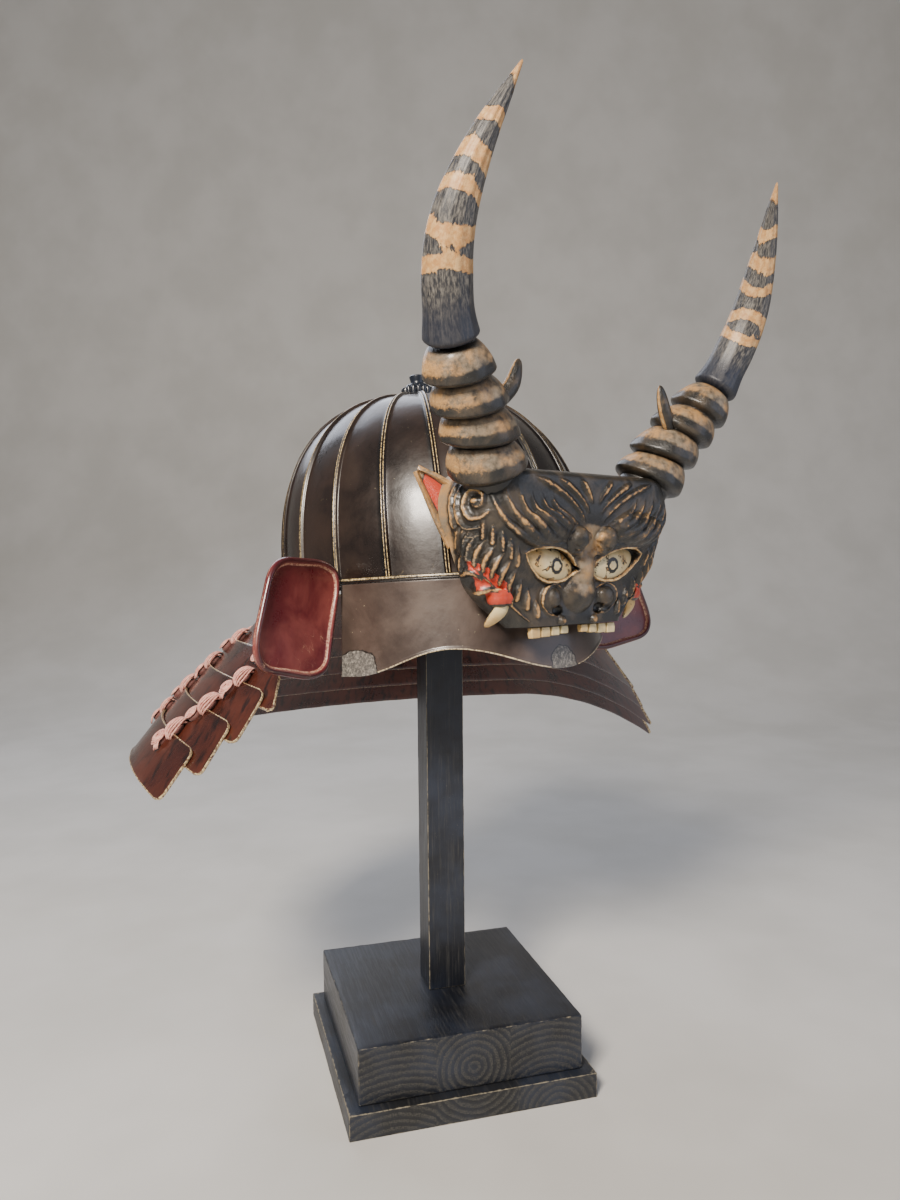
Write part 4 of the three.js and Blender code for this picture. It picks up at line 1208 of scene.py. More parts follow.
# ---------- neck guard ----------
@dataclass
class NeckGuard:
    """Five overlapping curved lames and the silk that laces them."""

    bowl: Bowl
    radius: float = 245.0
    centre_y: float = -20.0
    top_z: float = -6.0
    back_z: float = -115.0
    right_z: float = -136.0
    left_z: float = -158.0
    droop_from: float = 55.0
    span: float = 0.215
    lift: float = 4.0
    wall: float = 2.0
    corner: float = 6.0
    lames: tuple[tuple[float, float, float], ...] = (
        # where the lower edge lies on the slant, and how far round the upper and lower front corners reach
        (0.37, 103, 95), (0.535, 97.5, 101.5), (0.695, 98.2, 96.7), (0.85, 94.4, 93.4), (1.0, 89.7, 88.5))

    def point(self, angle: Array, fall: Array) -> Array:
        """Points of the guard's slant.

        Args:
            angle: degrees from the back, plus to the helmet's left.
            fall: place down the slant, 0 to 1.

        Returns:
            the upright points in millimetres.
        """
        a = np.radians(angle)
        top = np.stack([(self.bowl.half_width + 1) * np.sin(a),
                        self.bowl.rim_y + (self.bowl.half_length + 1) * np.cos(a), self.top_z + 0 * a], -1)
        over = np.maximum(0, abs(angle) - self.droop_from) / (90 - self.droop_from)
        droop = np.where(angle > 0, self.left_z, self.right_z) - self.back_z
        low = self.back_z + droop * np.minimum(over, 1.3) ** 2
        foot = np.stack([self.radius * np.sin(a), self.centre_y + self.radius * np.cos(a), low], -1)
        return top + (foot - top) * np.asarray(fall)[..., None]

    def normal(self, angle: Array, fall: Array) -> Array:
        """Outward normal of the slant.

        Args:
            angle: degrees from the back, plus to the helmet's left.
            fall: place down the slant, 0 to 1.

        Returns:
            unit vectors.
        """
        across = self.point(angle + 1, fall) - self.point(angle - 1, fall)
        down = self.point(angle, np.minimum(fall + 0.05, 1)) - self.point(angle, np.minimum(fall, 0.95))
        return unit(np.cross(across, down))

    def lame_top(self, index: int) -> float:
        """Where a lame's upper edge lies on the slant."""
        return 0.0 if index == 0 else self.lames[index][0] - self.span

    def lame_height(self, index: int, fall: Array) -> Array:
        """Height of a lame's inner face over the slant; each upper edge lies outside the lame above."""
        return 0 * fall if index == 0 else self.lift * (self.lames[index][0] - fall) / self.span

    def lame(self, index: int) -> Piece:
        """One lame, with rounded front corners.

        Args:
            index: which lame, counted from the top.

        Returns:
            the closed mesh.
        """
        bottom, end_top, end_bottom = self.lames[index]
        top = self.lame_top(index)
        height = 170.0 * (bottom - top)

        def shape(u: Array, v: Array) -> Laid:
            """The outer face, with its rounded corners and lip."""
            fall = top + (bottom - top) * v
            span = end_top + (end_bottom - end_top) * v
            from_edge = np.minimum(v, 1 - v) * height
            r = self.corner
            tuck = np.where(from_edge < r, r - np.sqrt(np.maximum(r**2 - (r - from_edge) ** 2, 0)), 0)
            mm_per_degree = math.radians(1) * np.linalg.norm(self.point(span, fall)[..., :2], axis=-1)
            span = span - tuck / mm_per_degree
            side = 2 * u - 1
            side = np.sign(side) * (1 - (1 - abs(side)) ** 1.25)
            angle = side * span
            wave = 0.35 * np.sin(angle * 0.9) * smooth_step(0.75, 1, v)
            lip = 0.7 * smooth_step(0.93, 1.0, v)
            level = self.lame_height(index, fall) + self.wall + wave * 0.4 + lip
            points = self.point(angle, fall) + self.normal(angle, fall) * level[..., None]
            to_end = (1 - abs(side)) * span * mm_per_degree
            near = np.minimum(from_edge, to_end)
            worn = smooth_step(1.3, 0.1, near)
            # painted shade across the top of each lower lame, where the lame above overlaps it
            return POSE.place(points), {"worn": worn, "shade": 0.5 * smooth_step(0.25, 0.0, v) * (index > 0),
                                        "run": angle * 4 / 360 + 10 * index, "fall": v}

        piece = shaped_grid(f"guard_lame_{index + 1}", 260, 22, shape)
        thick_sheet(piece, self.wall, (0, 0, 330), 0.55)
        return piece

    def build(self, coat: Finish, silk: Finish) -> None:
        """Makes and dresses the lames and the lacing.

        Args:
            coat: the lacquer.
            silk: the braid's finish.
        """
        for index in range(len(self.lames)):
            dress(self.lame(index), coat, "lame_lacquer", f"guard_lame_{index + 1}")
        Lacing(self).build(silk)


class Knot(Enum):
    """The two ways the braid shows on a lame."""

    SWIRL = "wound into a flat scroll over its holes"
    ARCH = "a bundle bridging the lame's upper edge"


@dataclass
class Lacing:
    """Eight columns of silk braid, each a row of scrolls and bridging bundles down the lames."""

    guard: NeckGuard
    columns: int = 8
    step: float = 22.6
    spread: float = 0.375
    limit: float = 90.5
    strand: float = 0.62
    knot_half: float = 6.3

    def tube(self, paths: Sequence[Array], radius: float, sides: int = 2) -> Piece:
        """Round strands along several paths, in millimetres, as one mesh.

        Args:
            paths: points along each strand.
            radius: the strands' radius.
            sides: how finely they are rounded.

        Returns:
            the mesh.
        """
        curve = bpy.data.curves.new("strands", "CURVE")
        curve.dimensions = "3D"
        curve.bevel_depth = radius * MM
        curve.bevel_resolution = sides - 1
        curve.use_fill_caps = True
        for path in paths:
            line = curve.splines.new("POLY")
            line.points.add(len(path) - 1)
            flat = np.concatenate([path * MM, np.ones((len(path), 1))], 1)
            line.points.foreach_set("co", flat.ravel())
        holder = bpy.data.objects.new("strands", curve)
        bpy.context.scene.collection.objects.link(holder)
        pick(holder)
        bpy.ops.object.convert(target="MESH")
        return bpy.context.object

    def model(self, kind: Knot) -> Piece:
        """One knot around the origin: x across the lame, y down it and z out.

        Args:
            kind: which knot.

        Returns:
            the mesh.
        """
        half = self.knot_half
        paths = []
        if kind is Knot.SWIRL:
            for offset in (-0.55, 0.55):
                k = np.linspace(0, 1, 44)
                turn = k * 2 * math.pi * 2.1 + 0.9
                r = (half - 0.6) * (1 - k) + 0.9 * k + offset
                paths.append(np.stack([r * np.cos(turn), r * np.sin(turn),
                                       1.0 + 3.9 * np.sqrt(np.maximum(1 - (r / (half + 0.9)) ** 2, 0))], -1))
            for x in (-1.3, 0.0, 1.3):
                k = np.linspace(0, 1, 9)
                paths.append(np.stack([x * (1 + 0.3 * k) - 2.2 + 2.2 * k, 3.5 + 5.4 * k,
                                       3.0 * (1 - k**2) + 0.3], -1))
        else:
            for x in np.linspace(-1, 1, 7):
                k = np.linspace(-1, 1, 15)
                bow = np.sqrt(np.maximum(1 - k**2, 0))
                sway = 1.1 * np.sin(2.2 * k + 2.0 * x)
                paths.append(np.stack([x * half * (0.5 + 0.42 * bow) + sway, k * (half + 2.0),
                                       (5.4 - 1.9 * abs(x) ** 2.2) * bow + 0.3], -1))
            for x in np.linspace(-1, 1, 5):
                k = np.linspace(-1, 1, 11)
                bow = np.sqrt(np.maximum(1 - k**2, 0))
                paths.append(np.stack([x * half * 0.55 + 0.8 * k, k * (half - 0.4),
                                       (4.2 - 1.2 * abs(x)) * bow], -1))
        strands = self.tube(paths, self.strand)
        deselect()
        bpy.ops.mesh.primitive_uv_sphere_add(segments=14, ring_count=8, radius=MM, location=(0, 0, 0.6 * MM))
        core = bpy.context.object
        core.scale = (half * 0.78, half * 0.82, 3.6 if kind is Knot.SWIRL else 3.0)
        bpy.ops.object.transform_apply(location=True, rotation=True, scale=True)
        # painted shade: each strand darker the lower it lies, and the core under the strands almost fully
        # dark
        deep = [np.clip(1 - vertex_array(strands)[:, 2] / MM / 3.0, 0, 1),
                np.full(len(core.data.vertices), 0.95)]
        for piece, values in zip((strands, core), deep):
            paint_points(piece, "deep", values)
        knot = join([strands, core], f"knot_{kind.name.lower()}")
        smooth_shade(knot, 80)
        return knot

    def frame_at(self, column: int, fall: float, height: float) -> tuple[Array, Array]:
        """Axes (across, down, out as columns) and place of a knot, in the part's frame in millimetres.

        Args:
            column: which column, counted from the helmet's right.
            fall: place down the slant, 0 to 1.
            height: millimetres over the slant.

        Returns:
            the 3 by 3 axes and the place.
        """
        base = self.step * (column + 0.5 - self.columns / 2)
        angle = base * (1 + self.spread * (0.8 - fall))
        angle = np.array([math.copysign(min(abs(angle), self.limit), angle)])
        here = np.array([fall])
        out = self.guard.normal(angle, here)[0]
        down = unit(self.guard.point(angle, here + 0.02)[0] - self.guard.point(angle, here)[0])
        across = unit(np.cross(down, out))
        place = self.guard.point(angle, here)[0] + out * height
        turn = POSE.turn()
        return turn @ np.stack([across, down, out], 1), POSE.place(place[None])[0]

    def build(self, silk: Finish) -> None:
        """Copies the knots down every column and joins each column into one piece.

        Args:
            silk: the braid's finish.
        """
        models = {kind: self.model(kind) for kind in Knot}
        rng = np.random.default_rng(5)
        for column in range(self.columns):
            parts = []
            for index in range(1, len(self.guard.lames)):
                top = self.guard.lame_top(index)
                above = float(self.guard.lame_height(index - 1, np.array(top - 0.03))) + self.guard.wall
                own = float(self.guard.lame_height(index, np.array(top + 0.045))) + self.guard.wall
                places = ((Knot.ARCH, top - 0.022, above + 0.9), (Knot.SWIRL, top + 0.047, own))
                for kind, fall, height in places:
                    pick(models[kind])
                    bpy.ops.object.duplicate()
                    copy = bpy.context.object
                    axes, place = self.frame_at(column, fall, height)
                    spin, size = rng.uniform(-0.5, 0.5), rng.uniform(0.93, 1.07)
                    if kind is Knot.SWIRL:
                        spin += math.pi * (index % 2)
                    local = level_turn(spin * 0.5 if kind is Knot.ARCH else spin)
                    set_vertices(copy, (vertex_array(copy) / MM * size @ local.T @ axes.T + place) * MM)
                    parts.append(copy)
            piece = join(parts, f"lacing_{column + 1}")
            mend(piece)
            dress(piece, silk, "silk", f"lacing_{column + 1}")
        for model in models.values():
            bpy.data.objects.remove(model)


# ---------- crest ----------
@dataclass(frozen=True)
class Stroke:
    """One carved line on the unrolled mask: its points (millimetres round and up) and its section."""

    points: Array
    width: float
    height: float
    start: float = 0.35
    end: float = 0.0


def bent(start: Sequence[float], control: Sequence[float], end: Sequence[float]) -> Array:
    """A line that leaves its start towards a control point and swings to its end."""
    k = np.linspace(0, 1, 9)[:, None]
    return (1 - k) ** 2 * np.array(start) + 2 * k * (1 - k) * np.array(control) + k**2 * np.array(end)


def coil(centre: Sequence[float], radii: tuple[float, float], turns: tuple[float, float]) -> Array:
    """An arc or a spiral round a centre.

    Args:
        centre: its middle.
        radii: its first and last radius.
        turns: its first and last angle in degrees, from the outward side.

    Returns:
        its points.
    """
    k = np.linspace(0, 1, 18)
    r = radii[0] + (radii[1] - radii[0]) * k
    t = np.radians(turns[0] + (turns[1] - turns[0]) * k)
    return np.array(centre) + np.stack([r * np.cos(t), r * np.sin(t)], -1)


@dataclass(frozen=True)
class Almond:
    """The tilted eye opening."""

    centre: tuple[float, float] = (32.0, 5.0)
    half_length: float = 25.0
    upper: float = 8.5
    lower: float = 10.5
    tilt: float = 12.0

    def lid(self, above: bool, grow: float = 0.0) -> Array:
        """One lid line from the inner to the outer corner, grown outwards by some millimetres.

        Args:
            above: upper lid, or lower.
            grow: millimetres outwards.

        Returns:
            its points.
        """
        k = np.linspace(0, 1, 14)
        along = (2 * k - 1) * (self.half_length + grow)
        side, rise = (1, self.upper) if above else (-1, self.lower)
        bow = np.sin(math.pi * k) ** 0.8 * (rise + grow) * side
        t = math.radians(self.tilt)
        return np.array(self.centre) + np.stack([along * math.cos(t) - bow * math.sin(t),
                                                 along * math.sin(t) + bow * math.cos(t)], -1)


EYE = Almond()
LOCKS = 6
CHEEK_SPIKES = 12
CURL_AT = (99.0, 43.0)


def carving() -> list[Stroke]:
    """Every raised line of one side: brow locks, forehead, curl, cheek fur, lids, nostril and lips.

    Returns:
        the lines on the helmet's right.
    """
    strokes = []
    for i in range(LOCKS):
        start = np.array([9.0 + 1.5 * i, 11.0 + 3.6 * i])
        end = np.array([90.0 - 9.5 * i, 52.0 - 1.0 * i])
        lock = bent(start, (end[0] - 4, start[1] + 5), end)
        strokes.append(Stroke(lock, 3.6 - 0.12 * i, 3.9 - 0.15 * i, 0.45, 0.1))
    for i in range(3):
        line = bent((58 - 21 * i, 57), (24 - 9 * i, 49), (9 - 3 * i, 31 + 6 * i))
        strokes.append(Stroke(line, 2.1, 2.3, 0.2, 0.3))
    strokes.append(Stroke(coil(CURL_AT, (11, 2), (-140, 330)), 2.1, 3.2, 0.5, 0.6))
    for reach in (17, 22):
        strokes.append(Stroke(coil(CURL_AT, (reach, reach - 1), (50, -120)), 2.3, 2.4, 0.2, 0.1))
    lip = np.array([(109, 16), (99, 9), (82, -1), (63, -14), (40, -30)], float)
    for i in range(CHEEK_SPIKES):
        k = i / (CHEEK_SPIKES - 1)
        foot = flowing(np.linspace(0, 1, len(lip)), lip, np.array(k))
        tip = foot + np.array([2.0 - 7.0 * math.sin(math.pi * k), 17 - 5 * k])
        strokes.append(Stroke(bent(foot, (foot[0] + 2, foot[1] + 9), tip), 2.6 - 0.3 * k, 2.9, 0.9, 0.0))
        if 2 < i < 8:
            strokes.append(Stroke(bent(tip + (-4, -3), tip + (-3, 3), tip + (-1, 9)), 2.1, 2.3, 0.9, 0.0))
    strokes.append(Stroke(EYE.lid(True, 1.5), 1.6, 2.7, 0.4, 0.5))
    strokes.append(Stroke(EYE.lid(False, 2.0), 1.6, 2.8, 0.4, 0.5))
    strokes.append(Stroke(coil((25, -20), (10.5, 10), (150, -110)), 1.5, 2.6, 0.3, 0.3))
    strokes.append(Stroke(bent((101, -1), (108, 20), (92, 4)), 1.5, 2.6, 0.5, 0.8))
    strokes.append(Stroke(bent((92, 4), (76, -8), (46, -33)), 1.5, 2.6, 0.8, 0.5))
    for i in range(2):
        fold = bent((100, -1), (92, 3), (84, -5)) - i * np.array([14, 10])
        strokes.append(Stroke(fold, 2.4, 3.2, 0.7, 0.7))
    return strokes


BEADS = (  # round from the middle, up, radius, height: brow bulbs and nubs, curl bead, lips, nostril, bridge
    (14, 21, 7.5, 3.4), (9, 21, 3.6, 5.4), (99, 43, 2.6, 3.6), (72, -17, 4.2, 4.0), (16, -34, 3.2, 3.2),
    (26, -18, 6.5, 2.0), (7, 11, 3.0, 2.2))


@dataclass
class CrestHead:
    """The carved beast head: a thick mask, open behind, with brow locks, curls, lips and cheek fur."""

    rows: tuple[tuple[float, float, float, float, float], ...] = (
        # z, half width, front, corner radius, back
        (59, 72, -127, 12, -112), (65, 78, -150, 20, -112), (60, 86, -167.5, 26, -112),
        (48, 92, -167, 27, -113), (35, 93, -165, 27, -115), (22, 89, -161, 27, -117),
        (11, 89, -156.5, 27, -121), (0, 87, -152, 27, -124), (-11, 79.5, -148, 26, -127),
        (-22, 67.5, -146.5, 25, -130), (-31, 58, -146, 20, -133), (-37, 53, -145, 15, -134))
    bosses: tuple[tuple[float, float, float, float, float, float], ...] = (
        # middle and radii of the rounded forms of nose, lips, brow and cheeks
        (0, -149, 2, 11, 10, 16), (0, -144, -14, 17, 11.5, 15), (28, -143, -18, 11, 8.5, 9),
        (14.6, -159, 20, 8, 8, 8.5), (46, -155, 30, 32, 13, 13), (74, -132, -6, 8.5, 9, 8),
        (66, -138, -17, 8.5, 8, 7))
    nostril: tuple[float, float, float] = (-20.5, -148, -27)
    nostril_size: tuple[float, float, float] = (5.2, 14, 3.6)
    wall: float = 6.0
    columns: int = 330
    depth: int = 230

    def sections(self) -> tuple[Array, Array]:
        """The rows as an array, and how far down the face each one lies."""
        table = np.array(self.rows)
        return table, run_length(table[:, [0, 2]], 3)

    def base(self, u: Array, v: Array) -> Array:
        """The mask before carving: u runs round it from side to side, v from the top edge to the chin.

        Args:
            u: round it from side to side, 0 to 1.
            v: top edge to chin, 0 to 1.

        Returns:
            the upright points in millimetres.
        """
        table, knots = self.sections()
        z, half, front, corner, back = np.moveaxis(flowing(knots / knots[-1], table, v), -1, 0)
        side = np.sign(u - 0.5)
        k = abs(u - 0.5) * 2
        flat, quarter = half - corner, corner * math.pi / 2
        depth = np.maximum(back - front - corner, 1)
        length = flat + quarter + depth
        at = k * length
        turn = np.clip((at - flat) / corner, 0, math.pi / 2)
        x = np.minimum(at, flat) + corner * np.sin(turn)
        y = front + corner * (1 - np.cos(turn)) + np.maximum(at - flat - quarter, 0)
        return np.stack([side * x, y, z], -1)

    def on_face(self, around: Array, up: Array) -> Array:
        """Points of the mask before carving, on the helmet's right, from millimetres round and up.

        Args:
            around: millimetres round from the middle.
            up: millimetres up.

        Returns:
            the upright points.
        """
        table, knots = self.sections()
        falling = slice(2, None)
        v = np.interp(-up, -table[falling, 0], knots[falling]) / knots[-1]
        _, half, front, corner, back = np.moveaxis(flowing(knots / knots[-1], table, v), -1, 0)
        length = half - corner + corner * math.pi / 2 + np.maximum(back - front - corner, 1)
        return self.base(0.5 - 0.5 * np.clip(around / length, 0, 1), v)

    def relieved(self, points: Array, normals: Array) -> Array:
        """Pushes the surface out to the rounded bosses of brow, nose and lips.

        Args:
            points: points in millimetres.
            normals: a normal for each.

        Returns:
            the points, pushed out.
        """
        lift = np.zeros(points.shape[:2])
        for x, y, z, rx, ry, rz in self.bosses:
            for side in ((1,) if x == 0 else (1, -1)):
                radii = np.array([rx, ry, rz])
                p = (points - np.array([x * side, y, z])) / radii
                d = normals / radii
                a, b, c = (d * d).sum(-1), (p * d).sum(-1), (p * p).sum(-1) - 1
                inside = b * b - a * c
                exit_at = (-b + np.sqrt(np.maximum(inside, 0))) / a
                lift = np.maximum(lift, np.where((inside > 0) & (exit_at > 0) & (exit_at < 16), exit_at, 0))
        return points + normals * blurred(lift, 3)[..., None]

    def ridge(self, tree: KDTree, points: Array, stroke: Stroke) -> tuple[Array, Array]:
        """How far one stroke raises the surface on both sides, and where its crest runs.

        Args:
            tree: search tree of the points.
            points: points in millimetres.
            stroke: the carved line.

        Returns:
            two numbers for each point.
        """
        knots = self.on_face(stroke.points[:, 0], stroke.points[:, 1])
        steps = np.maximum(np.linalg.norm(np.diff(knots, axis=0), axis=1), 0.01)
        length = np.concatenate([[0], np.cumsum(steps)])
        count = max(int(length[-1] / 0.7), 8)
        line = flowing(length, knots, np.linspace(0, length[-1], count))
        raised, crest = np.zeros(len(points)), np.zeros(len(points))
        for side in (1, -1):
            for i, place in enumerate(line):
                k = i / (count - 1)
                grow = min(1.0, stroke.start + (1 - stroke.start) * min(k / 0.22, 1))
                fade = stroke.end + (1 - stroke.end) * min((1 - k) / 0.5, 1) ** 0.8
                size = stroke.width * min(grow, fade)
                high = stroke.height * min(grow, fade)
                if size < 0.3:
                    continue
                spot = tree.find(Vector((place[0] * side, place[1], place[2])))[0]
                for _, index, distance in tree.find_range(spot, size):
                    k2 = distance / size
                    rise = high * math.sqrt(max(1 - k2 * k2, 0))
                    if rise > raised[index]:
                        raised[index] = rise
                        crest[index] = max(0.0, 1 - k2 * 1.6)
        return raised, crest

    def carve(self, points: Array, normals: Array) -> Laid:
        """Carves every line, the sockets and the nostrils, and notes the ridges, the painted shade of the
        hollows and the red.

        Args:
            points: points in millimetres.
            normals: a normal for each.

        Returns:
            the carved points and their numbers.
        """
        flat = points.reshape(-1, 3)
        tree = KDTree(len(flat))
        for index, place in enumerate(flat):
            tree.insert(Vector(place), index)
        tree.balance()
        raised, crest = np.zeros(len(flat)), np.zeros(len(flat))
        mirrored = np.stack([-abs(flat[:, 0]), flat[:, 1], flat[:, 2]], -1)
        for stroke in carving():
            lift, line = self.ridge(tree, flat, stroke)
            crest = np.where(lift > raised, line, crest)
            raised = np.maximum(raised, lift)
        for around, up, size, high in BEADS:
            place = self.on_face(np.array([around]), np.array([up]))[0]
            gap = np.linalg.norm((mirrored - place) * np.array([1, 0.55, 1]), axis=1) / size
            lift = high * np.sqrt(np.maximum(1 - gap * gap, 0))
            crest = np.where(lift > raised, np.maximum(0, 1 - gap * 1.5), crest)
            raised = np.maximum(raised, lift)
        raised = blurred(raised.reshape(points.shape[:2]), 1).ravel()
        sunk = self.socket(mirrored)
        raised = raised * (1 - sunk) - 4.6 * sunk
        hole = np.linalg.norm((mirrored - np.array(self.nostril)) / np.array(self.nostril_size), axis=1)
        bored = -4.0 * np.sqrt(np.maximum(1 - hole * hole, 0))
        raised = np.where(hole < 1, np.minimum(raised, bored), raised)
        grain = np.sin(flat[:, 0] * 0.9 + 2.0 * np.sin(flat[:, 2] * 0.35)) * 0.12
        raised = raised + grain * (raised > 0.3)
        field_grid = raised.reshape(points.shape[:2])
        soft = blurred(field_grid, 14)
        worn = np.clip((field_grid - soft) * 0.7, 0, 1).ravel() * (0.5 + 0.6 * crest)
        # painted shade in the hollows between the carved lines
        shade = np.clip((soft - field_grid) * 0.75, 0, 1).ravel()
        x, y, z = mirrored.T
        nose = np.exp(-((x / 14) ** 2)) * smooth_step(34, 26, z) * smooth_step(-26, -12, z)
        side = smooth_step(-128, -118, y) * smooth_step(-20, 10, z)
        tan = np.maximum(0.75 * nose, 0.85 * side)
        cheeks = (smooth_step(-64, -70, x) * smooth_step(34, 28, z) * smooth_step(-6, 4, z) * (y < -134))
        tan = np.maximum(tan, 0.62 * cheeks * crest * 1.3)
        lips = np.minimum(smooth_step(-58, -64, x), smooth_step(12, 6, z)) * smooth_step(-128, -136, y)
        red = 0.62 * lips * (raised < 2.1) * smooth_step(-24, -20, z) * (z < 8 + (x + 88) * -0.72)
        out = flat + normals.reshape(-1, 3) * raised[:, None]
        # painted shade also fills the eye sockets and the nostrils
        shade = np.maximum(np.maximum(shade, sunk * 0.9), np.where(hole < 1, 1.0, 0))
        numbers = {"worn": worn, "shade": shade, "tan": tan * (1 - sunk), "red": red * (1 - sunk)}
        return out.reshape(points.shape), {k: n.reshape(points.shape[:2]) for k, n in numbers.items()}

    def socket(self, mirrored: Array) -> Array:
        """1 inside the eye opening and 0 outside, with a short slope.

        Args:
            mirrored: points folded over to the helmet's right.

        Returns:
            a number for each point.
        """
        outline = np.concatenate([EYE.lid(True), EYE.lid(False)[-2:0:-1]]) * np.array([-1, 1])
        p = mirrored[:, [0, 2]]
        inside = np.zeros(len(p), bool)
        gap = np.full(len(p), 1e9)
        for a, b in zip(outline, np.roll(outline, -1, axis=0)):
            crossing = (a[1] > p[:, 1]) != (b[1] > p[:, 1])
            x_at = a[0] + (p[:, 1] - a[1]) / (b[1] - a[1] + 1e-9) * (b[0] - a[0])
            inside ^= crossing & (p[:, 0] < x_at)
            t = np.clip(((p - a) @ (b - a)) / ((b - a) @ (b - a)), 0, 1)
            gap = np.minimum(gap, np.linalg.norm(p - a - t[:, None] * (b - a), axis=1))
        signed = np.where(inside, gap, -gap)
        return smooth_step(-0.6, 0.9, signed) * (mirrored[:, 1] < -135)

    def build(self, finish: Finish) -> None:
        """Makes and dresses the mask: a carved outer face and a plain inner face, joined round the rim.

        Args:
            finish: the carved finish.
        """
        def outward(points: Array) -> Array:
            """Normals that point out of the mask."""
            normal = grid_normals(points)
            return -normal if normal[points.shape[0] // 2, points.shape[1] // 2, 1] > 0 else normal

        def outer(u: Array, v: Array) -> Laid:
            """The carved outer face."""
            face = self.base(u, v)
            face = self.relieved(face, outward(face))
            normal = outward(face)
            smooth_normal = unit(np.stack([blurred(normal[..., k], 6) for k in range(3)], -1))
            carved, numbers = self.carve(face, smooth_normal)
            return POSE.place(carved), numbers

        def inner(u: Array, v: Array) -> Laid:
            """The plain inner face."""
            face = self.base(u, v)
            # the whole inner face is painted full shade
            return POSE.place(face - outward(face) * self.wall), {"shade": 1 + 0 * u}

        piece = shaped_grid("crest_head", self.columns, self.depth, outer)
        lining = shaped_grid("lining", 64, 44, inner)
        piece = join([piece, lining], "crest_head")
        bpy.ops.object.mode_set(mode="EDIT")
        bpy.ops.mesh.select_mode(type="EDGE")
        bpy.ops.mesh.select_all(action="DESELECT")
        bpy.ops.mesh.select_non_manifold(extend=False, use_wire=False, use_multi_face=False,
                                         use_non_contiguous=False, use_verts=False)
        bpy.ops.mesh.bridge_edge_loops()
        bpy.ops.mesh.select_mode(type="VERT")
        bpy.ops.object.mode_set(mode="OBJECT")
        mend(piece)
        smooth_shade(piece, 55)
        dress(piece, finish, "carved_lacquer", "crest_head")


